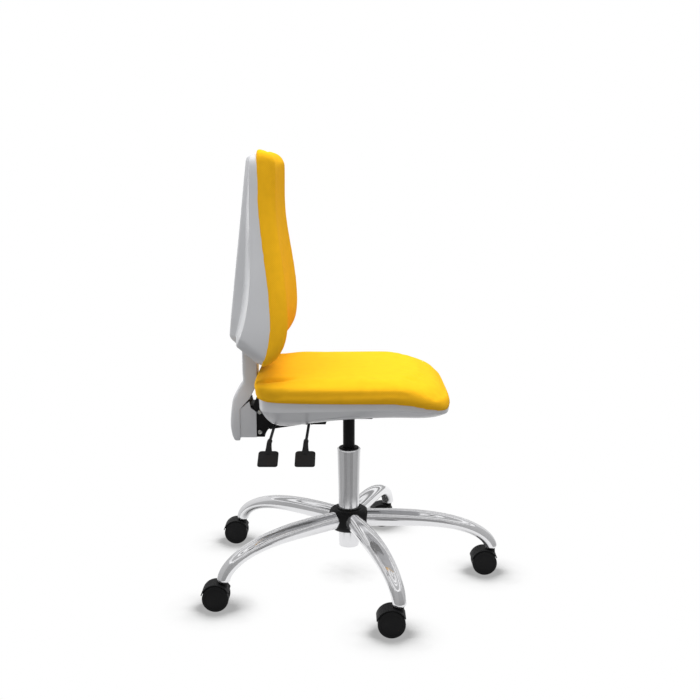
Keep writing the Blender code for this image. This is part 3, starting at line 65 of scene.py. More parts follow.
# Places that the frame gives
COLUMN_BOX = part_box("column_tube")
AXIS_X = (COLUMN_BOX[0].x + COLUMN_BOX[1].x) / 2
SEAT_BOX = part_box("seat_cushion")
BACK_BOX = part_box("back_cushion")
BACK_SHELL_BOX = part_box("back_shell")
BAR_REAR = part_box("back_bar")[0].x
NECK_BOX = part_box("bar_cover")
HUB_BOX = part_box("hub_cover")
HUB_Z = (HUB_BOX[0].z + HUB_BOX[1].z) / 2
TIP_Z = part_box("leg_1")[0].z
BUSH_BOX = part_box("column_bush")
GAS_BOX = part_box("gas_tube")
JOINTS = {joint["name"]: joint for joint in frame["joints"]}
RECLINE = Vector(JOINTS["recline"]["pos_m"])
CASTOR_NUMBERS = (1, 2, 3, 4, 5)
LEVERS = ("height", "recline")


def linear(code):
    """An sRGB hex colour as linear red, green and blue."""
    shares = [int(code[place:place + 2], 16) / 255 for place in (1, 3, 5)]
    return tuple(s / 12.92 if s <= 0.04045 else ((s + 0.055) / 1.055) ** 2.4 for s in shares)


def length(name, description, default):
    return FloatProperty(name=name, description=description, default=default, unit="LENGTH", precision=4)


def colour(name, description, code):
    value = linear(code)
    return FloatVectorProperty(name=name, description=description, subtype="COLOR", size=3, default=value)


def plain(name, description, default):
    return FloatProperty(name=name, description=description, default=default)


# Settings

class FinishSettings(bpy.types.PropertyGroup):
    """Colours and pattern sizes of the chair's materials."""

    cover: colour("Cover", "Dyed yarn of the upholstery", "#F9BC22")
    # Painted shade: the cover's colour darkened where its threads dip down in the weave
    cover_gap_painted_shade: colour("Cover between threads", "Shaded yarn down in the weave", "#EBB01F")
    weave: length("Weave", "Two threads of the cover, drawn at twice their width to show", 4.0 * MM)
    shell: colour("Shells", "Light grey polypropylene", "#CDCED1")
    grain: length("Moulded grain", "Pits of the mould's etched texture", 1.4 * MM)
    nylon: colour("Black nylon", "Castors, paddles and hub cover", "#121213")
    coat: colour("Black coat", "Powder coat on the mechanism", "#0A0A0B")
    chrome: colour("Chrome", "Bright nickel-chrome plate", "#EEEEF0")
    zinc: colour("Zinc", "Zinc plate on bolts, pins and springs", "#B9B9B6")
    veneer: colour("Veneer", "Birch veneer of the boards", "#C79A62")


class SeatSettings(bpy.types.PropertyGroup):
    """Shape of the seat's cushion and of the shell under it."""

    power: plain("Front squareness", "Power of the plan's round front corners", 5.5)
    rear_power: plain("Rear squareness", "Power of the plan's round rear corners", 8.0)
    crown: length("Crown", "Rise of the middle above the shoulder", 6 * MM)
    height: length("Shoulder", "Shoulder above the board", 45 * MM)
    roll_front: length("Front roll", "Depth of the roll over the front edge", 75 * MM)
    roll_side: length("Side roll", "Depth of the roll over the sides", 41 * MM)
    roll_rear: length("Rear roll", "Depth of the roll over the rear", 36 * MM)
    swell: length("Swell", "Most that the foam lifts the cover", 4 * MM)
    dimple: length("Dimple", "Depth of the hollow at the rear corners", 17 * MM)
    wall: length("Shell wall", "Wall of the seat shell", 3 * MM)


class BackSettings(bpy.types.PropertyGroup):
    """Shape of the backrest's cushion, shell and cover."""

    power: plain("Top squareness", "Power of the round top corners", 12.0)
    low_power: plain("Low squareness", "Power of the round lower corners", 13.0)
    top_width: length("Top width", "Width near the top", 344 * MM)
    thickness: length("Thickness", "Pad in front of the seam", 38 * MM)
    dish: length("Dish", "Hollow between the side ridges", 14 * MM)
    lean: length("Lean", "How far the top lies behind the lumbar part", 26 * MM)
    tuck: length("Tuck", "How far the lower edge lies behind the lumbar part", 22 * MM)
    swell: length("Swell", "Most that the foam lifts the cover", 3 * MM)
    wall: length("Shell wall", "Wall of the back shell", 3 * MM)
    spine: length("Spine", "Half the width of the shell's spine", 50 * MM)


class BaseSettings(bpy.types.PropertyGroup):
    """Shape of the legs, the hub cover, the column and the castors."""

    leg_half_width: length("Leg half-width", "Half-width of a leg at the hub", 21.0 * MM)
    leg_half_height: length("Leg half-height", "Half-height of a leg at the hub", 21.2 * MM)
    tip_half_width: length("Tip half-width", "Half-width of a leg at its tip", 15.5 * MM)
    tip_half_length: length("Tip half-length", "Half-length of a leg at its tip", 14.7 * MM)
    tip_round: length("Tip round", "Rounding of a leg's closed end", 5 * MM)
    belly: length("Belly", "Swell of a leg's sides halfway along", 3.6 * MM)
    wheel_radius: length("Wheel radius", "Radius of the castor wheels", 30 * MM)
    rim_ring: length("Rim ring", "Width of the ring round a wheel's face", 4 * MM)
    trail: length("Trail", "Axle behind the castor's stem", 17 * MM)


class StageSettings(bpy.types.PropertyGroup):
    """Camera, light and floor."""

    lens: FloatProperty(
        name="Lens", description="Focal length on a 36 mm sensor", default=50.24, subtype="DISTANCE_CAMERA"
    )
    pitch: FloatProperty(
        name="Pitch",
        description="How far the camera looks down",
        default=math.radians(10.307),
        subtype="ANGLE",
    )
    distance: length("Distance", "Camera to the point that it looks at", 2.3198)
    aim_x: length("Aim in front of column", "Point that the camera looks at, in front of the column", 0.0027)
    aim_z: length("Aim height", "Height of the point that the camera looks at", 0.5580)
    floor: colour("Floor", "Floor as it lights the chair from below", "#8E8E8E")
    sky: plain("Sky", "Strength of the even light from all round", 0.52)
    key: plain("Top light", "Power of the soft light above, in watts", 730.0)
    rim: plain("Rim light", "Power of the light from behind, in watts", 40.0)
    contact: length("Contact shadow", "How far from the floor a piece still shades it", 0.10)


# Shapes

EDGE_CUTS = 3
EDGE_ANGLE = 35


def smoothstep(low, high, value):
    """0 below low, 1 above high and an even S between them."""
    part = min(1.0, max(0.0, (value - low) / (high - low)))
    return part * part * (3.0 - 2.0 * part)


def mix(start, end, part):
    return start + (end - start) * part


def steps(low, high, count):
    """Evenly spaced values from low to high, ends included."""
    return [mix(low, high, step / (count - 1)) for step in range(count)]


def mesh_of(name, points, faces):
    mesh = bpy.data.meshes.new(name)
    mesh.from_pydata([tuple(point) for point in points], [], faces)
    shaped = bmesh.new()
    shaped.from_mesh(mesh)
    bmesh.ops.recalc_face_normals(shaped, faces=shaped.faces)
    shaped.to_mesh(mesh)
    shaped.free()
    return mesh


def skin(name, rings, closed=False, looped=True):
    """A mesh over rings of equally many points. Its ends are capped, single points or joined."""
    points = [point for ring in rings for point in ring]
    starts = [0]
    for ring in rings:
        starts.append(starts[-1] + len(ring))
    pairs = [(place, place + 1) for place in range(len(rings) - 1)]
    if closed:
        pairs.append((len(rings) - 1, 0))
    faces = []
    for first, second in pairs:
        a, b = starts[first], starts[second]
        sides = max(len(rings[first]), len(rings[second]))
        for side in range(sides if looped else sides - 1):
            after = (side + 1) % sides
            if len(rings[first]) == 1:
                faces.append((a, b + after, b + side))
            elif len(rings[second]) == 1:
                faces.append((a + side, a + after, b))
            else:
                faces.append((a + side, a + after, b + after, b + side))
    if looped and not closed:
        for end in (0, len(rings) - 1):
            if len(rings[end]) > 1:
                faces.append(tuple(range(starts[end], starts[end + 1])))
    return mesh_of(name, points, faces)


def turned(name, profile, sides=64, closed=False, axis="Z"):
    """A shape turned about an axis through the origin, from (radius, height along the axis) points."""
    rings = []
    for radius, along in profile:
        ring = []
        for side in range(sides if radius else 1):
            angle = 2 * math.pi * side / sides
            across, up = radius * math.cos(angle), radius * math.sin(angle)
            ring.append({"Z": (across, up, along), "Y": (across, along, up), "X": (along, across, up)}[axis])
        rings.append(ring)
    return skin(name, rings, closed)


def rounded(corners, radii, cuts=5):
    """An open line with its inner corners rounded, each to a curve of equally many points."""
    line = [Vector(corners[0])]
    for before, corner, after, radius in zip(corners, corners[1:], corners[2:], radii):
        before, corner, after = Vector(before), Vector(corner), Vector(after)
        start = corner + (before - corner) * min(0.5, radius / max((before - corner).length, 1e-6))
        end = corner + (after - corner) * min(0.5, radius / max((after - corner).length, 1e-6))
        for part in steps(0.0, 1.0, cuts):
            line.append(start.lerp(corner, part).lerp(corner.lerp(end, part), part))
    line.append(Vector(corners[-1]))
    return line


def rounded_loop(corners, radii, cuts=5):
    """A closed outline with all its corners rounded."""
    turn = [corners[-1], *corners, corners[0]]
    return rounded(turn, radii, cuts)[1:-1]


def arc(middle, radius, start, end, count):
    """Points of an arc in a plane, ends included, with angles in degrees."""
    angles = [math.radians(angle) for angle in steps(start, end, count)]
    return [(middle[0] + radius * math.cos(a), middle[1] + radius * math.sin(a)) for a in angles]


def through(stations, count):
    """Rows of numbers that run smoothly through the given rows, which start with their place."""
    rows = []
    for place in steps(stations[0][0], stations[-1][0], count):
        spot = max(i for i in range(len(stations) - 1) if stations[i][0] <= place + 1e-9)
        p1, p2 = stations[spot], stations[spot + 1]
        p0 = stations[spot - 1] if spot else p1
        p3 = stations[spot + 2] if spot + 2 < len(stations) else p2
        run = p2[0] - p1[0]
        t = (place - p1[0]) / run
        row = [place]
        for a, b, c, d in zip(p0[1:], p1[1:], p2[1:], p3[1:]):
            lean = (c - a) / max(p2[0] - p0[0], 1e-6) * run if spot else (c - b)
            lean_after = (d - b) / max(p3[0] - p1[0], 1e-6) * run if spot + 2 < len(stations) else (c - b)
            row.append(
                (2 * t ** 3 - 3 * t ** 2 + 1) * b + (t ** 3 - 2 * t ** 2 + t) * lean
                + (3 * t ** 2 - 2 * t ** 3) * c + (t ** 3 - t ** 2) * lean_after
            )
        rows.append(row)
    return rows


def moved(mesh, place=(0.0, 0.0, 0.0), turn=None):
    """The same mesh, turned where a rotation is given, and then moved."""
    mesh.transform(Matrix.Translation(place) @ (turn or Matrix.Identity(4)))
    return mesh


def linked(name, data):
    """A new object in the scene."""
    obj = bpy.data.objects.new(name, data)
    bpy.context.scene.collection.objects.link(obj)
    return obj


def evaluated(obj):
    """A new mesh of the object as its modifiers make it."""
    graph = bpy.context.evaluated_depsgraph_get()
    return bpy.data.meshes.new_from_object(obj.evaluated_get(graph))


def thickened(mesh, wall):
    """The open mesh with a wall behind its face."""
    helper = linked("helper", mesh)
    depth = helper.modifiers.new("wall", "SOLIDIFY")
    depth.thickness = wall
    depth.offset = -1.0
    depth.use_even_offset = True
    made = evaluated(helper)
    bpy.data.objects.remove(helper)
    return made


def carved(body, tools, operation="DIFFERENCE"):
    """The mesh with each tool cut from it, or joined to it."""
    blank = linked("blank", body)
    helpers = [linked("helper", tool) for tool in tools]
    for helper in helpers:
        step = blank.modifiers.new("step", "BOOLEAN")
        step.operation = operation
        step.object = helper
    made = evaluated(blank)
    for helper in [blank, *helpers]:
        bpy.data.objects.remove(helper)
    return made


def piece(name, mesh, material, body, slot, *nodes, edge=0.0, sharp=40):
    """A named object that rides on a body and stands for CAD nodes. An edge bevels its sharp corners."""
    mesh.materials.clear()
    mesh.materials.append(material)
    mesh.shade_smooth()
    mesh.set_sharp_from_angle(angle=math.radians(sharp))
    obj = linked(name, mesh)
    if edge:
        soften(obj, edge)
    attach(obj, body)
    if nodes:
        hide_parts(*nodes)
    return obj


def soften(obj, width):
    """Rounds the object's sharp edges."""
    bevel = obj.modifiers.new("edges", "BEVEL")
    bevel.width = width
    bevel.segments = EDGE_CUTS
    bevel.limit_method = "ANGLE"
    bevel.angle_limit = math.radians(EDGE_ANGLE)
    bevel.harden_normals = True


def dress_node(name, material, edge=0.0):
    """A CAD node that stays in view, with its own finish and softened edges."""
    obj = frame["nodes"][name]
    obj.data.materials.clear()
    obj.data.materials.append(material)
    if edge:
        soften(obj, edge)


# Materials

def link(tree, node, sources):
    """Links a node's inputs to other nodes' sockets."""
    for key, source in sources.items():
        tree.links.new(source, node.inputs[key])


def add(tree, kind, settings=None, links=None):
    """Adds a node, sets its properties and socket values, and links its inputs to other nodes' sockets."""
    made = tree.nodes.new(kind)
    for key, value in (settings or {}).items():
        if isinstance(key, str) and hasattr(made, key):
            setattr(made, key, value)
        else:
            made.inputs[key].default_value = value
    link(tree, made, links or {})
    return made


def blank_material(name, base, roughness, metallic=0.0, **sockets):
    """A material with its tree and its Principled shader. These two are None if it exists already."""
    material = bpy.data.materials.get(name)
    if material:
        return material, None, None
    material = bpy.data.materials.new(name)
    material.use_nodes = True
    shader = material.node_tree.nodes["Principled BSDF"]
    shader.inputs["Base Color"].default_value = (*base, 1.0)
    shader.inputs["Roughness"].default_value = roughness
    shader.inputs["Metallic"].default_value = metallic
    for socket, value in sockets.items():
        shader.inputs[socket.replace("_", " ")].default_value = value
    material.diffuse_color = (*base, 1.0)
    return material, material.node_tree, shader


def finishes():
    return bpy.context.scene.office_chair_finish


def woven_polyester():
    """Dyed polyester cloth in a plain weave: matt, with painted shade in the small gaps between its threads.
    """
    finish = finishes()
    material, tree, shader = blank_material("woven_polyester", finish.cover, 0.9, Specular_IOR_Level=0.08)
    if not tree:
        return material
    place = add(tree, "ShaderNodeTexCoord")
    spot, normal = place.outputs["Object"], place.outputs["Normal"]
    turns = 2 * math.pi / finish.weave
    scaled = add(tree, "ShaderNodeVectorMath", {"operation": "SCALE", "Scale": turns}, {0: spot})
    waves = add(tree, "ShaderNodeVectorMath", {"operation": "SINE"}, {0: scaled.outputs[0]})
    parts = add(tree, "ShaderNodeSeparateXYZ", links={0: waves.outputs[0]})
    x, y, z = (parts.outputs[axis] for axis in range(3))
    first = add(tree, "ShaderNodeCombineXYZ", links={0: y, 1: z, 2: x}).outputs[0]
    second = add(tree, "ShaderNodeCombineXYZ", links={0: z, 1: x, 2: y}).outputs[0]
    crossings = add(tree, "ShaderNodeVectorMath", {"operation": "MULTIPLY"}, {0: first, 1: second})
    facing = add(tree, "ShaderNodeVectorMath", {"operation": "MULTIPLY"}, {0: normal, 1: normal})
    sides = {0: crossings.outputs[0], 1: facing.outputs[0]}
    weave = add(tree, "ShaderNodeVectorMath", {"operation": "DOT_PRODUCT"}, sides).outputs["Value"]
    slubs = add(tree, "ShaderNodeTexNoise", {"Scale": 1 / (22 * MM), "Detail": 3.0}, {"Vector": spot})
    uneven = {"From Min": 0.35, "From Max": 0.65, "To Min": -0.35, "To Max": 0.35}
    slub = add(tree, "ShaderNodeMapRange", uneven, {"Value": slubs.outputs["Fac"]})
    mingled = add(tree, "ShaderNodeMath", {"operation": "ADD"}, {0: weave, 1: slub.outputs[0]})
    height = {"Value": mingled.outputs[0]}
    raised = add(tree, "ShaderNodeMapRange", {"From Min": -1.0, "From Max": 0.6}, height)
    # The yarn colour mixes painted shade, where the weave dips, with a random uneven tone from the slubs
    tones = {"data_type": "RGBA", 6: (*finish.cover_gap_painted_shade, 1.0), 7: (*finish.cover, 1.0)}
    yarn = add(tree, "ShaderNodeMix", tones, {0: raised.outputs[0]})
    threads = add(tree, "ShaderNodeBump", {"Distance": 0.35 * MM, "Strength": 0.45}, {"Height": weave})
    link(tree, shader, {"Base Color": yarn.outputs[2], "Normal": threads.outputs[0]})
    return material


def moulded_polypropylene():
    """Light grey polypropylene from an etched mould: a faint even grain under a soft satin gloss."""
    finish = finishes()
    material, tree, shader = blank_material("moulded_polypropylene", finish.shell, 0.22, IOR=1.49)
    if not tree:
        return material
    spot = {"Vector": add(tree, "ShaderNodeTexCoord").outputs["Object"]}
    pits = add(tree, "ShaderNodeTexVoronoi", {"Scale": 1 / finish.grain}, spot).outputs["Distance"]
    clouds = add(tree, "ShaderNodeTexNoise", {"Scale": 1 / (70 * MM), "Detail": 4.0}, spot).outputs["Fac"]
    span = {"From Min": 0.3, "From Max": 0.7}
    satin = add(tree, "ShaderNodeMapRange", {**span, "To Min": 0.18, "To Max": 0.26}, {"Value": clouds})
    tint = add(tree, "ShaderNodeMapRange", span, {"Value": clouds})
    darker = tuple(0.96 * part for part in finish.shell)
    tones = {"data_type": "RGBA", 6: (*darker, 1.0), 7: (*finish.shell, 1.0)}
    shade = add(tree, "ShaderNodeMix", tones, {0: tint.outputs[0]})
    grain = add(tree, "ShaderNodeBump", {"Distance": 0.05 * MM, "Strength": 0.35}, {"Height": pits})
    link(tree, shader, {"Base Color": shade.outputs[2], "Roughness": satin.outputs[0]})
    link(tree, shader, {"Normal": grain.outputs[0]})
    return material


def moulded_nylon():
    """Black glass-filled nylon: satin, with the fine texture of its mould and paler rubbed spots."""
    finish = finishes()
    material, tree, shader = blank_material("moulded_nylon", finish.nylon, 0.58, Specular_IOR_Level=0.2)
    if not tree:
        return material
    spot = {"Vector": add(tree, "ShaderNodeTexCoord").outputs["Object"]}
    pits = add(tree, "ShaderNodeTexNoise", {"Scale": 1 / (0.9 * MM), "Detail": 2.0}, spot).outputs["Fac"]
    rubbed = add(tree, "ShaderNodeTexNoise", {"Scale": 1 / (18 * MM), "Detail": 5.0}, spot).outputs["Fac"]
    gloss = {"From Min": 0.3, "From Max": 0.7, "To Min": 0.50, "To Max": 0.66}
    satin = add(tree, "ShaderNodeMapRange", gloss, {"Value": rubbed})
    wear = add(tree, "ShaderNodeMapRange", {"From Min": 0.4, "From Max": 0.75}, {"Value": rubbed})
    paler = tuple(1.35 * part for part in finish.nylon)
    tones = {"data_type": "RGBA", 6: (*finish.nylon, 1.0), 7: (*paler, 1.0)}
    shade = add(tree, "ShaderNodeMix", tones, {0: wear.outputs[0]})
    texture = add(tree, "ShaderNodeBump", {"Distance": 0.06 * MM, "Strength": 0.3}, {"Height": pits})
    link(tree, shader, {"Base Color": shade.outputs[2], "Roughness": satin.outputs[0]})
    link(tree, shader, {"Normal": texture.outputs[0]})
    return material


def powder_coat():
    """Black powder coat on folded steel: half matt, with the low waves that the melting powder leaves."""
    finish = finishes()
    material, tree, shader = blank_material("powder_coat", finish.coat, 0.45, Specular_IOR_Level=0.2)
    if not tree:
        return material
    spot = {"Vector": add(tree, "ShaderNodeTexCoord").outputs["Object"]}
    waves = add(tree, "ShaderNodeTexNoise", {"Scale": 1 / (2.2 * MM), "Detail": 1.0}, spot).outputs["Fac"]
    gloss = {"From Min": 0.3, "From Max": 0.7, "To Min": 0.40, "To Max": 0.52}
    half_matt = add(tree, "ShaderNodeMapRange", gloss, {"Value": waves})
    peel = add(tree, "ShaderNodeBump", {"Distance": 0.10 * MM, "Strength": 0.35}, {"Height": waves})
    link(tree, shader, {"Roughness": half_matt.outputs[0], "Normal": peel.outputs[0]})
    return material


def chrome_plate():
    """Bright chrome on polished tube: a near mirror with faint polishing haze and slow waves in the wall."""
    finish = finishes()
    material, tree, shader = blank_material("chrome_plate", finish.chrome, 0.07, 0.8)
    if not tree:
        return material
    spot = {"Vector": add(tree, "ShaderNodeTexCoord").outputs["Object"]}
    haze = add(tree, "ShaderNodeTexNoise", {"Scale": 1 / (35 * MM), "Detail": 4.0}, spot).outputs["Fac"]
    gloss = {"From Min": 0.35, "From Max": 0.7, "To Min": 0.045, "To Max": 0.12}
    mirror = add(tree, "ShaderNodeMapRange", gloss, {"Value": haze})
    waves = add(tree, "ShaderNodeTexNoise", {"Scale": 1 / (60 * MM), "Detail": 1.0}, spot).outputs["Fac"]
    wall = add(tree, "ShaderNodeBump", {"Distance": 2.0 * MM, "Strength": 0.10}, {"Height": waves})
    link(tree, shader, {"Roughness": mirror.outputs[0], "Normal": wall.outputs[0]})
    return material


def zinc_plate():
    """Zinc-plated steel: a soft metallic grey with the small cloudy spangle of the plating bath."""
    finish = finishes()
    material, tree, shader = blank_material("zinc_plate", finish.zinc, 0.32, 1.0)
    if not tree:
        return material
    spot = {"Vector": add(tree, "ShaderNodeTexCoord").outputs["Object"]}
    spangle = add(tree, "ShaderNodeTexVoronoi", {"Scale": 1 / (1.5 * MM)}, spot)
    gloss = {"From Min": 0.0, "From Max": 0.8, "To Min": 0.24, "To Max": 0.42}
    clouded = add(tree, "ShaderNodeMapRange", gloss, {"Value": spangle.outputs["Distance"]})
    link(tree, shader, {"Roughness": clouded.outputs[0]})
    return material


def birch_plywood():
    """Pressed birch veneers: pale wood with fine grain along its length, waxed to a dull finish."""
    finish = finishes()
    material, tree, shader = blank_material("birch_plywood", finish.veneer, 0.62)
    if not tree:
        return material
    spot = {"Vector": add(tree, "ShaderNodeTexCoord").outputs["Object"]}
    drawn = add(tree, "ShaderNodeMapping", {"Scale": (0.06, 1.0, 1.0)}, spot)
    fibres = {"Vector": drawn.outputs["Vector"]}
    grain = add(tree, "ShaderNodeTexNoise", {"Scale": 1 / (2.5 * MM), "Detail": 4.0}, fibres).outputs["Fac"]
    tint = add(tree, "ShaderNodeMapRange", {"From Min": 0.35, "From Max": 0.65}, {"Value": grain})
    darker = tuple(0.7 * part for part in finish.veneer)
    tones = {"data_type": "RGBA", 6: (*darker, 1.0), 7: (*finish.veneer, 1.0)}
    shade = add(tree, "ShaderNodeMix", tones, {0: tint.outputs[0]})
    ridges = add(tree, "ShaderNodeBump", {"Distance": 0.1 * MM, "Strength": 0.3}, {"Height": grain})
    link(tree, shader, {"Base Color": shade.outputs[2], "Normal": ridges.outputs[0]})
    return material


# Seat

SEAT_MIDDLE_X = (SEAT_BOX[0].x + SEAT_BOX[1].x) / 2
SEAT_HALF_DEPTH = (SEAT_BOX[1].x - SEAT_BOX[0].x) / 2
SEAT_HALF_WIDTH = (SEAT_BOX[1].y - SEAT_BOX[0].y) / 2
SEAT_SIDES = 180
HOUSING_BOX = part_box("mechanism_housing")

FRONT_BLEND = (0.15, 0.60)
FRONT_EASE = 4 * MM
SEAM_OVERLAP = 3 * MM
BOARD_INSET = 33 * MM
SHELL_GAP = -1.5 * MM
FLOOR_DROP = 54.5 * MM
FLOOR_SLOPE = 0.0775
FLOOR_BOW = 0.31
SLOT_HALF_WIDTH = 50 * MM
SLOT_ROOM = 5 * MM
SLOT_TOP = 5.5 * MM
SHELL_ROUNDS = (1.2 * MM, 22 * MM, 22 * MM)
SHELL_FLAT = 0.4
SEAT_SLACK = 2 * MM
SEAT_VOXEL = 5 * MM
TACKED = 2 * MM
SMOOTH_ROUNDS = 3

# Values for the front, the sides and the rear of the seat
SEAM_RISES = (-27 * MM, -6 * MM, 4 * MM)
SEAM_INSETS = (4 * MM, 13 * MM, 8 * MM)
BULGES = (5 * MM, 31 * MM, 32 * MM)

# Share of the shell's height, and insets at the front, the sides and the rear
SHELL_STEPS = (
    (1.00, (5 * MM, 11 * MM, 7 * MM)),
    (0.65, (6 * MM, 10 * MM, 10 * MM)),
    (0.27, (22 * MM, 28 * MM, 24 * MM)),
    (0.03, (45 * MM, 55 * MM, 45 * MM)),
)

# A rear corner's hollow: place from the seat's rear, side and top, reach along, inward and outward, and pull
DIMPLE_PLACE = (48 * MM, 50 * MM, 3 * MM)
DIMPLE_SPREAD = (34 * MM, 6 * MM, 15 * MM)
DIMPLE_PULL = (0.3, 0.95)


def seat():
    return bpy.context.scene.office_chair_seat


def board_top():
    return SEAT_BOX[1].z - seat().crown - seat().height


def around(angle, front, side, rear):
    """A value that changes evenly from the front to the sides and to the rear."""
    ahead = smoothstep(*FRONT_BLEND, max(0.0, math.cos(angle)) ** 2)
    behind = max(0.0, -math.cos(angle)) ** 2
    return front * ahead + rear * behind + side * (1.0 - ahead - behind)


def seat_point(angle, inset):
    """A point on the seat's plan outline, moved in by the inset."""
    power = mix(seat().power, seat().rear_power, (1 - math.cos(angle)) / 2)
    across, up = math.cos(angle), math.sin(angle)
    reach = (abs(across) ** power + abs(up) ** power) ** (-1 / power)
    x = SEAT_MIDDLE_X + (SEAT_HALF_DEPTH - inset) * across * reach
    return x, (SEAT_HALF_WIDTH - inset) * up * reach


def seat_angles():
    return [2 * math.pi * place / SEAT_SIDES for place in range(SEAT_SIDES)]


def seat_ring(insets, heights):
    """A ring round the seat, from (front, side, rear) insets and heights."""
    return [(*seat_point(a, around(a, *insets)), around(a, *heights)) for a in seat_angles()]


def seat_pad(slack):
    """The cushion's cover before it swells: flat below, tucked in at the seam, rolled over and crowned."""
    low = board_top()
    shoulder = low + seat().height - slack
    seams = [low + rise for rise in SEAM_RISES]
    widest = [seam + bulge for seam, bulge in zip(seams, BULGES)]
    rolls = (seat().roll_front, seat().roll_side, seat().roll_rear)
    rings = [[(SEAT_MIDDLE_X, 0.0, low)]]
    rings += [seat_ring([mix(0.2, BOARD_INSET, part)] * 3, [low] * 3) for part in steps(0.0, 1.0, 5)]
    tucked = [inset + SEAM_OVERLAP for inset in SEAM_INSETS]
    rings.append(seat_ring(tucked, [seam - SEAM_OVERLAP for seam in seams]))
    for part in steps(0.0, math.pi / 2, 6):
        insets = [slack + inset * (1 - math.sin(part)) for inset in SEAM_INSETS]
        rings.append(seat_ring(insets, [s + b * (1 - math.cos(part)) for s, b in zip(seams, BULGES)]))
    for part in steps(0.0, math.pi / 2, 16)[1:]:
        insets = [slack + roll * (1 - math.cos(part)) for roll in rolls]
        rings.append(seat_ring(insets, [mix(w, shoulder, math.sin(part)) for w in widest]))
    edge = rings[-1]
    for part in steps(0.0, 1.0, 14)[1:-1]:
        height = shoulder + seat().crown * math.sin(part * math.pi / 2)
        rings.append([(mix(x, SEAT_MIDDLE_X, part), mix(y, 0.0, part), height) for x, y, z in edge])
    rings.append([(SEAT_MIDDLE_X, 0.0, shoulder + seat().crown)])
    return skin("seat_pad", rings)


def even_mesh(mesh, size):
    """The mesh with even small faces all over."""
    helper = linked("helper", mesh)
    remesh = helper.modifiers.new("even", "REMESH")
    remesh.mode = "VOXEL"
    remesh.voxel_size = size
    made = evaluated(helper)
    bpy.data.objects.remove(helper)
    return made


def plumped(mesh, held, cap, pressure=4.0, frames=20):
    """The closed cover after its foam has pushed it out, by a cap at most, held where it is tacked down."""
    rest = [vertex.co.copy() for vertex in mesh.vertices]
    helper = linked("helper", mesh)
    group = helper.vertex_groups.new(name="held")
    group.add([place for place, spot in enumerate(rest) if held(spot)], 1.0, "REPLACE")
    cloth = helper.modifiers.new("cover", "CLOTH")
    cloth.settings.use_pressure = True
    cloth.settings.uniform_pressure_force = pressure
    cloth.settings.effector_weights.gravity = 0.0
    cloth.settings.vertex_group_mass = "held"
    cloth.point_cache.frame_start = 1
    cloth.point_cache.frame_end = frames
    for moment in range(1, frames + 1):
        bpy.context.scene.frame_set(moment)
    swollen = evaluated(helper)
    bpy.context.scene.frame_set(1)
    bpy.data.objects.remove(helper)
    for vertex, spot in zip(swollen.vertices, rest):
        shift = vertex.co - spot
        if shift.length > cap:
            vertex.co = spot + shift * (cap / shift.length)
    return swollen


def smoothed(mesh, rounds):
    """The mesh with its small ripples evened out."""
    shaped = bmesh.new()
    shaped.from_mesh(mesh)
    axes = {f"use_axis_{axis}": True for axis in "xyz"}
    for _ in range(rounds):
        bmesh.ops.smooth_vert(shaped, verts=shaped.verts, factor=0.5, **axes)
    shaped.to_mesh(mesh)
    shaped.free()
    return mesh


def fitted(mesh, low, high):
    """The mesh stretched to reach a low and a high corner, on each axis that these give."""
    for axis in range(3):
        places = [vertex.co[axis] for vertex in mesh.vertices]
        start, end = min(places), max(places)
        first = start if low[axis] is None else low[axis]
        for vertex in mesh.vertices:
            vertex.co[axis] = mix(first, high[axis], (vertex.co[axis] - start) / (end - start))
    return mesh


def dimpled(mesh):
    """The mesh with a soft hollow where the cover is drawn down at each rear corner."""
    back, inward, below = DIMPLE_PLACE
    along, inner, outer = DIMPLE_SPREAD
    outward, down = DIMPLE_PULL
    for vertex in mesh.vertices:
        side = 1 if vertex.co.y > 0 else -1
        dx = vertex.co.x - (SEAT_BOX[0].x + back)
        dy = vertex.co.y - side * (SEAT_HALF_WIDTH - inward)
        dz = vertex.co.z - (SEAT_BOX[1].z - below)
        across = inner if dy * side < 0 else outer
        near = math.exp(-(dx / along) ** 2 - (dy * dy + dz * dz) / across ** 2)
        vertex.co += Vector((0.0, -outward * side, -down)) * (seat().dimple * near)
    return mesh


def cushion(cover, voxel, held, swell, low, high):
    """The cover with even faces, plumped up, smoothed and fitted to the room that its solid has."""
    mesh = plumped(even_mesh(cover, voxel), held, swell)
    return fitted(smoothed(mesh, SMOOTH_ROUNDS), low, high)


def add_subdivision(obj):
    fine = obj.modifiers.new("fine", "SUBSURF")
    fine.levels = 1
    fine.render_levels = 1


class OFFICE_CHAIR_OT_seat_cushion(bpy.types.Operator):
    """Makes the seat's upholstered cushion"""

    bl_idname = "office_chair.seat_cushion"
    bl_label = "Seat cushion"

    def execute(self, context):
        tacked_below = board_top() + TACKED
        low = (SEAT_BOX[0].x, SEAT_BOX[0].y, None)
        high = SEAT_BOX[1] - Vector((FRONT_EASE, 0.0, 0.0))
        cover = seat_pad(SEAT_SLACK)
        mesh = cushion(cover, SEAT_VOXEL, lambda spot: spot.z < tacked_below, seat().swell, low, high)
        mesh = dimpled(mesh)
        pad = piece("seat_pad", mesh, woven_polyester(), "seat", "yellow_fabric", "seat_cushion", sharp=180)
        add_subdivision(pad)
        return {"FINISHED"}


def shell_floor(x, wall):
    """Height of the seat shell's underside, which sinks towards the rear."""
    ahead = x - AXIS_X
    return board_top() - FLOOR_DROP + FLOOR_SLOPE * ahead - FLOOR_BOW * ahead * ahead + wall


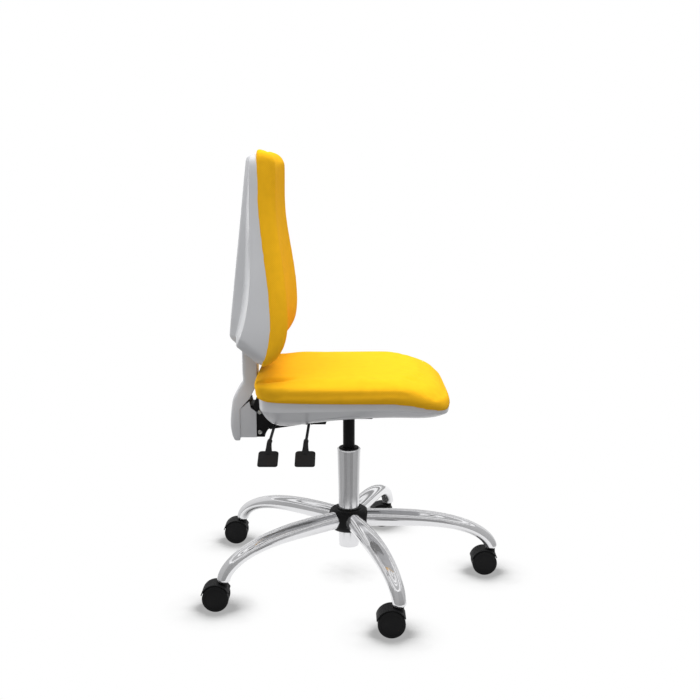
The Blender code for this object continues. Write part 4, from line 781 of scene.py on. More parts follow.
def seat_shell_rings(wall):
    """Rings of the seat shell from its rim to its middle, on the face that lies one wall further in."""
    lines = []
    for angle in seat_angles():
        rim = board_top() + around(angle, *SEAM_RISES) - SHELL_GAP
        corners = []
        for part, insets in SHELL_STEPS:
            x, y = seat_point(angle, around(angle, *insets) + wall)
            corners.append((x, y, mix(shell_floor(x, wall), rim, part)))
        x, y = mix(corners[-1][0], SEAT_MIDDLE_X, SHELL_FLAT), mix(corners[-1][1], 0.0, SHELL_FLAT)
        corners.append((x, y, shell_floor(x, wall)))
        lines.append(rounded(corners, SHELL_ROUNDS, 6))
    rings = [[line[place] for line in lines] for place in range(len(lines[0]))]
    rings.append([(SEAT_MIDDLE_X, 0.0, shell_floor(SEAT_MIDDLE_X, wall))])
    return rings


def block(low, high):
    """A box between two corners."""
    outline = [(low[0], low[1]), (high[0], low[1]), (high[0], high[1]), (low[0], high[1])]
    return skin("block", [[(x, y, level) for x, y in outline] for level in (low[2], high[2])])


class OFFICE_CHAIR_OT_seat_shell(bpy.types.Operator):
    """Makes the moulded shell under the seat, with a slot for the mechanism"""

    bl_idname = "office_chair.seat_shell"
    bl_label = "Seat shell"

    def execute(self, context):
        pan = skin("seat_pan", seat_shell_rings(0.0)[::-1] + seat_shell_rings(seat().wall))
        low = (SEAT_BOX[0].x - SEAT_HALF_DEPTH, -SLOT_HALF_WIDTH, 0.0)
        high = (HOUSING_BOX[1].x + SLOT_ROOM, SLOT_HALF_WIDTH, HOUSING_BOX[1].z - SLOT_TOP)
        pan = carved(pan, [block(low, high)])
        piece("seat_pan", pan, moulded_polypropylene(), "seat", "grey_plastic", "seat_shell", sharp=50)
        return {"FINISHED"}


# Backrest

BACK_LOW = BACK_BOX[0].z
BACK_HEIGHT = BACK_BOX[1].z - BACK_BOX[0].z
BACK_HALF_WIDTH = (BACK_BOX[1].y - BACK_BOX[0].y) / 2
BAR_THICKNESS = 6 * MM
BAR_FRONT = BAR_REAR + BAR_THICKNESS
BAR_X = BAR_REAR + BAR_THICKNESS / 2
SEAM_AHEAD = 71 * MM
BACK_X = BAR_X + SEAM_AHEAD
TAPER = (30 * MM, 430 * MM)
LEAN_RISES = (96.5 * MM, 376.5 * MM)
DRAW_IN = 3 * MM
PAD_BULGE = 10 * MM
PAD_ROLL_SIDE = 16 * MM
PAD_ROLL_TOP = 30 * MM
PAD_ROLL_BOTTOM = 62 * MM
PAD_ROWS = 96
PAD_ROW_POWER = 0.6
PAD_LIMIT = 0.6
BACK_SLACK = 1.5 * MM
BACK_VOXEL = 4.5 * MM
SHELL_LOW = BACK_SHELL_BOX[0].z
SHELL_HEIGHT = BACK_SHELL_BOX[1].z - BACK_SHELL_BOX[0].z
SHELL_RIM_BACK = -1.0 * MM
SHELL_NARROW = 2 * MM
EDGE_DEPTH = 18 * MM
WING_DEPTH = 52.8 * MM
WING_POWER = 2.35
TAIL_RISE = 49.2 * MM
SPINE_DROP = 29 * MM
TAIL_BAND = 19 * MM
TAIL_TURN = 1.1
TAIL_EASE = 3 * MM
BAND_SHARE = 0.5
WING_EDGE = 65 * MM
WING_EDGE_SHARE = 0.6
WING_LEAN = 2 * MM
WING_ROUNDS = (2.5 * MM, 5 * MM, 6 * MM)
SIDE_EASE = 3 * MM
SPINE_EASE = 10 * MM
SPINE_SHARE = 0.45
SPINE_TIP = 40 * MM
SPINE_BACK = 35.5 * MM
SPINE_FORWARD = 8.9 * MM
SPINE_RISES = (65 * MM, 450 * MM)
TOP_POWER = 70
TOP_ZONE = 30 * MM
TOP_TURN = 1.53
TAIL_ZONE = 20 * MM
LOWEST_ROW = 1 * MM
NECK_SLOT_ROOM = 3.5 * MM
NECK_SLOT_TOP = 75 * MM
NECK_HALF_WIDTH = 27 * MM
NECK_REAR = 8.5 * MM


def back():
    return bpy.context.scene.office_chair_back


def quarter(part):
    """Height of a quarter circle, from 0 at its edge to 1."""
    return math.sqrt(1.0 - (1.0 - min(1.0, max(0.0, part))) ** 2)


def back_half(rise):
    """Half the back's width without its round corners, by height above its lower edge."""
    return mix(BACK_HALF_WIDTH, back().top_width / 2, smoothstep(*TAPER, rise))


def seam_x(rise):
    """The seam line's place: it leans back towards the top and tucks back under the lower edge."""
    low = LEAN_RISES[0]
    tucked = max(0.0, low - rise) / low
    return BACK_X - back().lean * smoothstep(*LEAN_RISES, rise) - back().tuck * tucked * tucked


def corner_share(level):
    """How much of the full width is left at a level from -1, the bottom, to 1, the top."""
    power = back().power if level > 0 else back().low_power
    return max(0.0, 1.0 - abs(level) ** power) ** (1.0 / power)


def back_pad(slack):
    """The back's cover before it swells: flat behind, rolled over and dished between two side ridges."""
    rings = [[(seam_x(0.0), 0.0, BACK_LOW + slack)]]
    for turn in steps(-math.pi / 2, math.pi / 2, PAD_ROWS)[1:-1]:
        level = math.copysign(abs(math.sin(turn)) ** PAD_ROW_POWER, turn)
        rise = BACK_HEIGHT * (1 + level) / 2
        half = back_half(rise) * corner_share(level) - slack
        seam = seam_x(rise)
        roll = quarter(rise / PAD_ROLL_BOTTOM) * quarter((BACK_HEIGHT - rise) / PAD_ROLL_TOP)
        bulge, depth = PAD_BULGE * roll, max(0.0, back().thickness * roll - slack)
        side = min(PAD_ROLL_SIDE, PAD_LIMIT * half)
        dish = min(back().dish, PAD_LIMIT * depth)
        sunk = seam - SEAM_OVERLAP
        points = [(sunk, 0.5 * half), (sunk, max(half - 2 * DRAW_IN, 0.7 * half))]
        points.append((seam, max(half - DRAW_IN, 0.8 * half)))
        for angle in steps(0.0, math.pi / 2, 12):
            points.append((seam + mix(bulge, depth, math.sin(angle)), half - side * (1 - math.cos(angle))))
        for part in steps(1.0, 0.0, 14)[1:-1]:
            points.append((seam + depth - dish * (1 - part * part), part * (half - side)))
        other = [(x, -y) for x, y in reversed(points)]
        points += [(seam + depth - dish, 0.0), *other]
        height = BACK_LOW + min(max(rise, slack), BACK_HEIGHT - slack)
        rings.append([(x, y, height) for x, y in points])
    rings.append([(seam_x(BACK_HEIGHT), 0.0, BACK_LOW + BACK_HEIGHT - slack)])
    return skin("back_pad", rings)


class OFFICE_CHAIR_OT_back_cushion(bpy.types.Operator):
    """Makes the backrest's upholstered cushion"""

    bl_idname = "office_chair.back_cushion"
    bl_label = "Back cushion"

    def execute(self, context):
        def tacked(spot):
            return spot.x < seam_x(spot.z - BACK_LOW) + TACKED

        low = (None, BACK_BOX[0].y, BACK_BOX[0].z)
        mesh = cushion(back_pad(BACK_SLACK), BACK_VOXEL, tacked, back().swell, low, BACK_BOX[1])
        fabric = woven_polyester()
        pad = piece("back_pad", mesh, fabric, "backrest", "yellow_fabric", "back_cushion", sharp=180)
        add_subdivision(pad)
        return {"FINISHED"}


def wing_depth(rise):
    """Depth of the shell's side wall: thin at the top and deep at the tail."""
    part = (SHELL_HEIGHT - max(rise, TAIL_RISE)) / (SHELL_HEIGHT - TAIL_RISE)
    return EDGE_DEPTH + WING_DEPTH * max(0.0, part) ** WING_POWER


def spine_depth(rise, rim):
    """Depth of the shell's straight spine, which comes forward towards the top."""
    low, high = SPINE_RISES
    return rim - mix(BAR_X - SPINE_BACK, BAR_X + SPINE_FORWARD, (rise - low) / (high - low))


def lesser(first, second, ease):
    """The lesser of two values, with a round passage between them."""
    part = max(0.0, ease - abs(first - second)) / ease
    return min(first, second) - part * part * ease / 4


def back_shell_ring(rise):
    """One level of the back shell, from one side of its rim round the wings and the spine to the other."""
    level = 2 * rise / SHELL_HEIGHT - 1
    above = rise + SHELL_LOW - BACK_LOW
    rim = seam_x(above) - SHELL_RIM_BACK
    fade = math.sqrt(1 - max(0.0, level) ** TOP_POWER)
    tail_slope = (EDGE_DEPTH + WING_DEPTH) / TAIL_RISE
    under = tail_slope * rise
    half = max(SPINE_TIP, back_half(above) * corner_share(level) - SHELL_NARROW)
    side = max(0.0, lesser(wing_depth(rise), under, SIDE_EASE) * fade)
    under_spine = under + tail_slope * SPINE_DROP
    spine = max(0.0, lesser(spine_depth(rise, rim), under_spine, SPINE_EASE) * fade)
    line = [(0.0, half)] + [(side * part, half - WING_LEAN * part) for part in steps(0.15, 0.85, 6)]
    corners = [
        line[-1],
        (side, half - WING_LEAN),
        (mix(side, spine, BAND_SHARE), min(WING_EDGE, WING_EDGE_SHARE * half)),
        (spine, min(back().spine, SPINE_SHARE * half)),
        (spine, 0.0),
    ]
    line += [tuple(spot) for spot in rounded(corners, WING_ROUNDS, 7)[1:]]
    ring = []
    for depth, y in line:
        apart = (rise - depth / tail_slope) / math.hypot(1.0, 1.0 / tail_slope)
        short = max(0.0, TAIL_BAND - apart)
        turn_in = TAIL_TURN * (math.hypot(short, TAIL_EASE) - TAIL_EASE)
        ring.append((rim - depth, y * max(0.1, half - turn_in) / half, SHELL_LOW + rise))
    return ring + [(x, -y, z) for x, y, z in reversed(ring[:-1])]


class OFFICE_CHAIR_OT_back_shell(bpy.types.Operator):
    """Makes the moulded shell behind the back, with its two wings, its spine and a slot for the neck"""

    bl_idname = "office_chair.back_shell"
    bl_label = "Back shell"

    def execute(self, context):
        tail, top = TAIL_RISE + TAIL_ZONE, SHELL_HEIGHT - TOP_ZONE
        rises = steps(LOWEST_ROW, tail, 26) + steps(tail, top, 50)[1:]
        rises += [SHELL_HEIGHT - TOP_ZONE * (1 - math.sin(part)) for part in steps(0.0, TOP_TURN, 16)[1:]]
        outer = skin("back_panel", [back_shell_ring(rise) for rise in rises], looped=False)
        half = NECK_HALF_WIDTH + NECK_SLOT_ROOM
        low = (BAR_REAR - NECK_REAR - NECK_SLOT_ROOM, -half, SHELL_LOW - TAIL_RISE)
        high = (NECK_BOX[1].x + NECK_SLOT_ROOM, half, SHELL_LOW + NECK_SLOT_TOP)
        panel = carved(thickened(outer, back().wall), [block(low, high)])
        plastic = moulded_polypropylene()
        piece("back_panel", panel, plastic, "backrest", "grey_plastic", "back_shell", sharp=60)
        return {"FINISHED"}


# Cover of the bar

COVER_EDGE = 1.2 * MM
COVER_ROUNDS = (2.5 * MM, 11 * MM, 11 * MM, 2.5 * MM)
COVER_OVERLAP = 0.5 * MM


def linear_row(stations, place, column):
    """One column of the stations at a place between them, along straight lines."""
    for first, second in zip(stations, stations[1:]):
        if first[0] <= place <= second[0] + 1e-9:
            return mix(first[column], second[column], (place - first[0]) / (second[0] - first[0]))
    raise ValueError(f"{place} lies outside the stations")


class OFFICE_CHAIR_OT_back_cover(bpy.types.Operator):
    """Makes the neck and the cap over the back's bar, and finishes the cover of its brackets"""

    bl_idname = "office_chair.back_cover"
    bl_label = "Back cover"

    def execute(self, context):
        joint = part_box("side_cover")[0].x + COVER_OVERLAP
        front, rear = NECK_BOX[1].x, BAR_REAR - NECK_REAR
        half, cap = NECK_HALF_WIDTH, (NECK_BOX[1].y - NECK_BOX[0].y) / 2
        # Height, front, rear and half-width
        stations = [
            (NECK_BOX[0].z, joint - 1.5 * MM, BAR_REAR - 28 * MM, cap - 1 * MM),
            (RECLINE.z - 55 * MM, joint, BAR_REAR - 33 * MM, cap),
            (RECLINE.z - 26 * MM, joint, BAR_REAR - 37.1 * MM, cap),
            (RECLINE.z + 10.6 * MM, joint, BAR_REAR - 34.5 * MM, cap - 1 * MM),
            (RECLINE.z + 34.8 * MM, BAR_FRONT + 3 * MM, BAR_REAR - 30.3 * MM, cap - 5 * MM),
            (RECLINE.z + 58 * MM, front - 5.9 * MM, BAR_REAR - 18.7 * MM, half + 3 * MM),
            (RECLINE.z + 73 * MM, front, rear, half),
            (RECLINE.z + 95 * MM, front, rear, half),
            (NECK_BOX[1].z, front, rear, half),
        ]
        rings = []
        for height, _, back_x, half_y in through(stations, 90):
            front_x = linear_row(stations, height, 1)
            corners = [(front_x, half_y), (back_x, half_y), (back_x, -half_y), (front_x, -half_y)]
            outline = rounded_loop(corners, COVER_ROUNDS, 7)
            rings.append([(spot.x, spot.y, height) for spot in outline])
        plastic, neck = moulded_polypropylene(), skin("neck_cover", rings)
        piece("neck_cover", neck, plastic, "back_support", "grey_plastic", "bar_cover", edge=COVER_EDGE)
        dress_node("side_cover", plastic, COVER_EDGE)
        return {"FINISHED"}


# Mechanism and levers

BOLT_HEAD_RADIUS = 5.6 * MM
BOLT_HEAD = 4 * MM
SHANK_SHARE = 0.55
BOLT_CHAMFER = 1 * MM
NUT_INSET = 0.5 * MM
STEEL_EDGE = 0.7 * MM
SOCKET_RADIUS = 3.1 * MM
SOCKET_DEPTH = 2.4 * MM
ROD_RADIUS = 3.25 * MM
ROD_TAIL = 5.5 * MM
LEVER_REACH = 188 * MM
PADDLE_WIDTH = 43.5 * MM
PADDLE_LENGTH = 48.6 * MM
PADDLE_THICKNESS = 5 * MM
PADDLE_CORNER = 7 * MM
PADDLE_DROOP = math.radians(25.2)
PADDLE_BEND = 1.5 * MM
NECK_RUN = 16 * MM
NECK_DROP = 12.7 * MM
NECK_ROOT = 12 * MM
NECK_SIDES = 24


def bolt(node):
    """A bolt with a domed socket head on the near side and a nut on the far side."""
    low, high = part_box(node)
    reach = (high.y - low.y) / 2
    inner = reach - BOLT_HEAD
    shank = (high.x - low.x) / 2 * SHANK_SHARE
    profile = [(0.0, -reach)]
    for angle in steps(0.15, math.pi / 2, 9):
        profile.append((BOLT_HEAD_RADIUS * math.sin(angle), -inner - BOLT_HEAD * math.cos(angle)))
    profile += [(shank, -inner), (shank, reach - BOLT_CHAMFER), (shank - BOLT_CHAMFER, reach), (0.0, reach)]
    body = turned("bolt", profile, 32, axis="Y")
    hexagons = []
    for radius, first, last in (
        (BOLT_HEAD_RADIUS, inner, reach - NUT_INSET),
        (SOCKET_RADIUS, -reach - BOLT_HEAD, -reach + SOCKET_DEPTH),
    ):
        hexagons.append(turned("hexagon", [(radius, first), (radius, last)], 6, axis="Y"))
    nut, socket = hexagons
    made = carved(carved(body, [nut], "UNION"), [socket])
    return moved(made, ((low.x + high.x) / 2, 0.0, (low.z + high.z) / 2))


class OFFICE_CHAIR_OT_mechanism(bpy.types.Operator):
    """Finishes the black mechanism and its brackets, and makes the bright bolts"""

    bl_idname = "office_chair.mechanism"
    bl_label = "Mechanism"

    def execute(self, context):
        for node in ("mechanism_housing", "bracket_plate_left", "bracket_plate_right", "tilt_shaft"):
            dress_node(node, powder_coat(), STEEL_EDGE)
        for place in ("upper", "lower"):
            node = f"bracket_bolt_{place}"
            name = f"bright_bolt_{place}"
            piece(name, bolt(node), zinc_plate(), "back_support", "bright_steel", node, sharp=35)
        return {"FINISHED"}


def lever_handle(spot):
    """A flat drooping paddle with a soft edge, on a neck that is pushed over the rod's end."""
    end = spot.y - LEVER_REACH
    droop = Matrix.Rotation(PADDLE_DROOP, 4, "X")
    top = Vector((spot.x, end - NECK_RUN, spot.z - NECK_DROP))
    half = PADDLE_WIDTH / 2
    rings = []
    for turn in steps(-math.pi / 2, math.pi / 2, 9):
        inset = PADDLE_THICKNESS / 2 * (1 - math.cos(turn))
        corners = [(half - inset, -inset), (-half + inset, -inset)]
        corners += [(-half + inset, inset - PADDLE_LENGTH), (half - inset, inset - PADDLE_LENGTH)]
        outline = rounded_loop(corners, [PADDLE_CORNER] * 4, 8)
        level = PADDLE_THICKNESS / 2 * math.sin(turn)
        rings.append([(p.x, p.y, level - PADDLE_BEND * (p.x / half) ** 2) for p in outline])
    paddle = moved(skin("paddle", rings), top, droop)
    root = top + droop @ Vector((0.0, -NECK_ROOT, 0.0))
    # Place along the neck, Y, Z, half-width, half-height and share of the droop
    stations = [
        (0.0, end + 20 * MM, spot.z, 5.0 * MM, 5.0 * MM, 0.0),
        (0.3, end + 19 * MM, spot.z, 5.5 * MM, 5.5 * MM, 0.0),
        (1.0, end, spot.z, 5.5 * MM, 5.5 * MM, 0.3),
        (1.5, mix(end, root.y, 0.5), mix(spot.z, root.z, 0.42), 6.5 * MM, 4.4 * MM, 0.9),
        (2.0, root.y, root.z, 9.0 * MM, PADDLE_THICKNESS / 2, 1.0),
    ]
    neck = []
    for _, y, z, across, up, tilt in through(stations, 24):
        square = Vector((0.0, -math.sin(tilt * PADDLE_DROOP), math.cos(tilt * PADDLE_DROOP)))
        ring = []
        for side in range(NECK_SIDES):
            angle = 2 * math.pi * side / NECK_SIDES
            ring.append(Vector((spot.x + across * math.cos(angle), y, z)) + square * (up * math.sin(angle)))
        neck.append(ring)
    return carved(paddle, [skin("neck", neck)], "UNION")


class OFFICE_CHAIR_OT_levers(bpy.types.Operator):
    """Makes the two levers: straight rods with drooping black paddles"""

    bl_idname = "office_chair.levers"
    bl_label = "Levers"

    def execute(self, context):
        for lever in LEVERS:
            spot = Vector(JOINTS[f"{lever}_lever_lift"]["pos_m"])
            body = f"{lever}_lever"
            tail, end = spot.y + ROD_TAIL, spot.y - LEVER_REACH
            profile = [(0.0, tail), (ROD_RADIUS, tail), (ROD_RADIUS, end), (0.0, end)]
            rod = moved(turned("rod", profile, 24, axis="Y"), (spot.x, 0.0, spot.z))
            piece(f"{body}_bar", rod, powder_coat(), body, "black_steel", f"{body}_rod")
            handle = lever_handle(spot)
            piece(f"{body}_handle", handle, moulded_nylon(), body, "black_plastic", f"{body}_paddle")
        return {"FINISHED"}


# Column, hub and legs

LEG_COUNT = 5
LEG_RADIUS = JOINTS["castor_1_swivel"]["pos_m"][0] - AXIS_X
LEG_STRAIGHT = 60 * MM
LEG_ROOT = 30 * MM
LEG_SPAN_POWER = 3.2
LEG_DROP_POWER = 1.8
LEG_SIDES = 48
COLUMN_FOOT = 24.4 * MM
COLUMN_WAIST = 25.4 * MM
COLUMN_WAIST_RISE = 126 * MM
COLUMN_BORE = 21.5 * MM
COLUMN_FLOOR = 3 * MM
COLUMN_HOLE = 8 * MM
COLUMN_EDGE = 1.2 * MM
EDGE_SHARE = 0.3
COLUMN_HEAD = (COLUMN_BOX[1].x - COLUMN_BOX[0].x) / 2
GAS_RADIUS = (GAS_BOX[1].x - GAS_BOX[0].x) / 2
BUSH_RADIUS = (BUSH_BOX[1].x - BUSH_BOX[0].x) / 2
BUSH_FLANGE = 3.2 * MM
BUSH_DEPTH = 20 * MM
BUSH_FIT = 0.3 * MM
BUSH_EDGE = 1 * MM
GAS_EDGE = 2 * MM
HUB_RADIUS = (HUB_BOX[1].x - HUB_BOX[0].x) / 2
HUB_ROUND = 9 * MM
HUB_RIM = 3.5 * MM
HUB_STEP = 2.5 * MM
HUB_FIT = 0.2 * MM
HUB_LIP = 2 * MM
HUB_ROUNDS = (0.5 * MM, 5 * MM, 9 * MM, 9 * MM, 7 * MM, 1.5 * MM, 1.2 * MM, 0.8 * MM)
LEG_ROWS = 56
LEG_STEP = 0.004


def base():
    return bpy.context.scene.office_chair_base


class OFFICE_CHAIR_OT_column(bpy.types.Operator):
    """Makes the chromed column, its collar and the black gas cylinder in it"""

    bl_idname = "office_chair.column"
    bl_label = "Column"

    def execute(self, context):
        here = (AXIS_X, 0.0, 0.0)
        low, high = COLUMN_BOX[0].z, COLUMN_BOX[1].z
        edge, slight = COLUMN_EDGE, EDGE_SHARE * COLUMN_EDGE
        outer = [(COLUMN_FOOT - edge, low), (COLUMN_FOOT - slight, low + slight), (COLUMN_FOOT, low + edge)]
        stations = [(low + edge, COLUMN_FOOT), (low + COLUMN_WAIST_RISE, COLUMN_WAIST)]
        stations.append((high - edge, COLUMN_HEAD))
        outer += [(radius, height) for height, radius in through(stations, 24)[1:]]
        outer += [(COLUMN_HEAD - slight, high - slight), (COLUMN_HEAD - edge, high)]
        floor = low + COLUMN_FLOOR
        inner = [(COLUMN_BORE, high), (COLUMN_BORE, floor), (COLUMN_HOLE, floor), (COLUMN_HOLE, low)]
        sleeve = moved(turned("column", outer + inner, 96, True), here)
        piece("column_sleeve", sleeve, chrome_plate(), "base", "chrome", "column_tube")
        top, bottom = BUSH_BOX[1].z, high - BUSH_DEPTH
        bore, skirt, flange = GAS_RADIUS + BUSH_FIT, COLUMN_BORE - BUSH_FIT, top - BUSH_FLANGE
        profile = [(bore, bottom), (bore, top), (BUSH_RADIUS - BUSH_EDGE, top)]
        profile += [(BUSH_RADIUS, top - BUSH_EDGE), (BUSH_RADIUS, flange), (skirt, flange), (skirt, bottom)]
        collar = moved(turned("collar", profile, closed=True), here)
        piece("column_collar", collar, moulded_nylon(), "base", "black_plastic", "column_bush")
        foot, head = GAS_BOX[0].z, GAS_BOX[1].z
        end = GAS_RADIUS - GAS_EDGE
        profile = [(0.0, foot), (end, foot), (GAS_RADIUS, foot + GAS_EDGE)]
        profile += [(GAS_RADIUS, head - GAS_EDGE), (end, head), (0.0, head)]
        cylinder = moved(turned("gas", profile, 64), here)
        piece("gas_cylinder", cylinder, powder_coat(), "seat", "black_steel", "gas_tube")
        return {"FINISHED"}


class OFFICE_CHAIR_OT_hub_cover(bpy.types.Operator):
    """Makes the black barrel over the hub"""

    bl_idname = "office_chair.hub_cover"
    bl_label = "Hub cover"

    def execute(self, context):
        low, high = HUB_BOX[0].z, HUB_BOX[1].z
        bore = COLUMN_WAIST + HUB_FIT
        lip = bore + HUB_RIM
        corners = [
            (bore, low + HUB_LIP),
            (bore, low),
            (HUB_RADIUS - HUB_ROUND, low),
            (HUB_RADIUS, low + HUB_ROUND),
            (HUB_RADIUS, high - HUB_ROUND),
            (HUB_RADIUS - HUB_ROUND, high - HUB_STEP),
            (lip, high - HUB_STEP),
            (lip, high),
            (bore, high),
            (bore, high - HUB_LIP),
        ]
        profile = [(spot.x, spot.y) for spot in rounded(corners, HUB_ROUNDS, 6)]
        barrel = moved(turned("hub", profile, 72, True), (AXIS_X, 0.0, 0.0))
        piece("hub_boss", barrel, moulded_nylon(), "base", "black_plastic", "hub_cover")
        return {"FINISHED"}


def leg_run(part):
    """Radius, height and share of the way of a leg's middle line, which bends down ever more to the tip."""
    angle = part * math.pi / 2
    along = math.sin(angle) ** (2 / LEG_SPAN_POWER)
    height = mix(TIP_Z, HUB_Z, math.cos(angle) ** (2 / LEG_DROP_POWER))
    return mix(LEG_STRAIGHT, LEG_RADIUS, along), height, along


def leg_ring(part):
    """An oval ring square to the leg's run, with the leg along +X."""
    radius, height, along = leg_run(part)
    before, after = leg_run(max(0.0, part - LEG_STEP)), leg_run(part + LEG_STEP)
    heading = Vector((after[0] - before[0], after[1] - before[1])).normalized()
    settings = base()
    half_width = mix(settings.leg_half_width, settings.tip_half_width, along * along)
    half_width += settings.belly * math.sin(math.pi * along)
    half_height = mix(settings.leg_half_height, settings.tip_half_length, smoothstep(0.1, 0.95, along))
    ring = []
    for side in range(LEG_SIDES):
        angle = 2 * math.pi * side / LEG_SIDES
        across, up = half_width * math.cos(angle), half_height * math.sin(angle)
        ring.append((radius - heading.y * up, across, height + heading.x * up))
    return ring


def leg():
    """A leg along +X, from inside the hub's cover to its rounded end over the castor."""
    last = math.acos((base().tip_round / (HUB_Z - TIP_Z)) ** (LEG_DROP_POWER / 2)) / (math.pi / 2)
    first = leg_ring(0.0)
    rings = [[(LEG_ROOT, y, z) for x, y, z in first]]
    rings += [leg_ring(part) for part in steps(0.0, last, LEG_ROWS)]
    radius, height, _ = leg_run(last)
    for turn in steps(0.0, math.pi / 2, 7)[1:]:
        keep = 1 - base().tip_round * (1 - math.cos(turn)) / base().tip_half_length
        middle = mix(radius, LEG_RADIUS, math.sin(turn))
        level = mix(height, TIP_Z, math.sin(turn))
        flat = 1 - math.sin(turn)
        ring = []
        for x, y, z in rings[LEG_ROWS]:
            ring.append((middle + (x - radius) * keep, y * keep, level + (z - height) * flat))
        rings.append(ring)
    return skin("leg", rings)


class OFFICE_CHAIR_OT_legs(bpy.types.Operator):
    """Makes the five chromed legs"""

    bl_idname = "office_chair.legs"
    bl_label = "Legs"

    def execute(self, context):
        for place in range(LEG_COUNT):
            turn = Matrix.Rotation(2 * math.pi * place / LEG_COUNT, 4, "Z")
            mesh = moved(leg(), (AXIS_X, 0.0, 0.0), turn)
            node = f"leg_{place + 1}"
            piece(f"base_{node}", mesh, chrome_plate(), "base", "chrome", node, sharp=60)
        return {"FINISHED"}


# Castors

WHEEL_INNER = 8.3 * MM
WHEEL_WIDTH = 14 * MM
AXLE_ROOM = 3.3 * MM
AXLE_COVER = 5 * MM
TYRE_ROUND = 3 * MM
TYRE_EDGE = 1 * MM
FACE_RECESS = 0.8 * MM
RING_SLOPE = 0.4 * MM
DOME_RISE = 0.6 * MM
HOOD_EDGE = 0.8 * MM
FENDER_INNER = 31.36 * MM
FENDER_OUTER = 33.56 * MM
FENDER_FROM = 25
FENDER_TO = 165
FENDER_HALF = 20.5 * MM
WEB_HALF = 8 * MM
WEB_SHORT = 0.5 * MM
HUB_DISC = 12 * MM
BOSS_RADIUS = 10 * MM
BOSS_GAP = 0.3 * MM
BOSS_TOP = TIP_Z - BOSS_GAP


def slab(outline, low, high):
    """An outline in X and Z, given a thickness along Y."""
    return skin("slab", [[(x, level, z) for x, z in outline] for level in (low, high)])


def wheel_disc(side):
    """A wheel about its own axle: a rounded tyre, a ring round its face and a low dome within."""
    radius, outer = base().wheel_radius, WHEEL_INNER + WHEEL_WIDTH
    ring = radius - TYRE_ROUND
    inner_ring = ring - base().rim_ring
    profile = [(0.0, outer - AXLE_COVER), (AXLE_ROOM, outer - AXLE_COVER), (AXLE_ROOM, WHEEL_INNER)]
    profile += [(radius - TYRE_EDGE, WHEEL_INNER), (radius, WHEEL_INNER + TYRE_EDGE)]
    profile += arc((ring, outer - TYRE_ROUND), TYRE_ROUND, 0, 90, 7)
    profile += [(inner_ring + RING_SLOPE, outer), (inner_ring, outer - FACE_RECESS)]
    for part in steps(0.9, 0.0, 6):
        profile.append((inner_ring * part, outer - FACE_RECESS + DOME_RISE * (1 - part * part)))
    return turned("wheel", [(r, side * along) for r, along in profile], 64, axis="Y")


def castor_body():
    """The web between the wheels, the fender over them and the boss under the leg, about the stem."""
    axle = (-base().trail, base().wheel_radius)
    ends = FENDER_FROM, FENDER_TO
    fender = arc(axle, FENDER_OUTER, *ends, 40) + arc(axle, FENDER_INNER, *reversed(ends), 40)
    web = [axle, *arc(axle, FENDER_OUTER - WEB_SHORT, *ends, 40)]
    disc = turned("disc", [(HUB_DISC, -WEB_HALF), (HUB_DISC, WEB_HALF)], 40, axis="Y")
    disc = moved(disc, (axle[0], 0.0, axle[1]))
    boss = turned("boss", [(BOSS_RADIUS, axle[1] + BOSS_RADIUS), (BOSS_RADIUS, BOSS_TOP)], 40)
    tools = [slab(web, -WEB_HALF, WEB_HALF), disc, boss]
    return carved(slab(fender, -FENDER_HALF, FENDER_HALF), tools, "UNION")


class OFFICE_CHAIR_OT_castors(bpy.types.Operator):
    """Makes the five castors, each a hood on a stem with two wheels"""

    bl_idname = "office_chair.castors"
    bl_label = "Castors"

    def execute(self, context):
        for number in CASTOR_NUMBERS:
            body = f"castor_{number}"
            stem = Vector(JOINTS[f"{body}_swivel"]["pos_m"])
            nylon = moulded_nylon()
            hood = moved(castor_body(), (stem.x, stem.y, 0.0))
            node = f"castor_hood_{number}"
            piece(f"castor_body_{number}", hood, nylon, body, "black_plastic", node, edge=HOOD_EDGE)
            for name, side in (("left", 1), ("right", -1)):
                axle = Vector(JOINTS[f"{body}_roll_{name}"]["pos_m"])
                disc = moved(wheel_disc(side), axle)
                wheel, node = f"{body}_wheel_{name}", f"castor_wheel_{number}_{name}"
                piece(f"castor_disc_{number}_{name}", disc, nylon, wheel, "black_plastic", node, sharp=30)
        return {"FINISHED"}


# Pieces of the frame that stay as they are

class OFFICE_CHAIR_OT_inner_parts(bpy.types.Operator):
    """Gives the frame's inner pieces their materials"""

    bl_idname = "office_chair.inner_parts"
    bl_label = "Inner parts"

    def execute(self, context):
        plated = ["base_hub", "thrust_bearing", "piston_rod", "rod_clip", "tilt_spring"]
        plated += [f"castor_{part}_{number}" for part in ("stem", "axle") for number in CASTOR_NUMBERS]
        for names, material in (
            (plated, zinc_plate()),
            (["seat_plate", "back_bar"], powder_coat()),
            (["seat_board", "back_board"], birch_plywood()),
            (["height_ratchet"], moulded_nylon()),
        ):
            for name in names:
                dress_node(name, material)
        return {"FINISHED"}


# Stage

FLOOR_REACH = 9.0
KEY_HEIGHT = 7.0
KEY_SIZE = 7.2
RIM_PLACE = (-2.0, 1.6, 0.6)
RIM_SIZE = 1.2
LIT_HEIGHT = 0.6
SENSOR = 36.0
STAGE_RADIUS = 3.0
CARD_RADIUS = 0.5
CARD_LOW = 0.0
CARD_HIGH = 0.32

# Rings round the chair that only chrome sees: lowest and highest angle above the floor, and grey
BANDS = (
    (0, 7, 0.35),
    (10, 13, 0.12),
    (18, 24, 0.25),
    (28, 31, 0.1),
    (36, 44, 0.3),
    (48, 50, 0.12),
    (55, 66, 0.35),
    (70, 73, 0.15),
    (78, 86, 0.3),
)

# A row of cards round the chair that only chrome sees: pale at its ends, with every second card darker
CARD_START = 130
CARD_STEP = 30
CARD_COUNT = 9
CARD_DARK = 0.3
CARD_PALE = 0.75
CARD_STREAK = 0.75


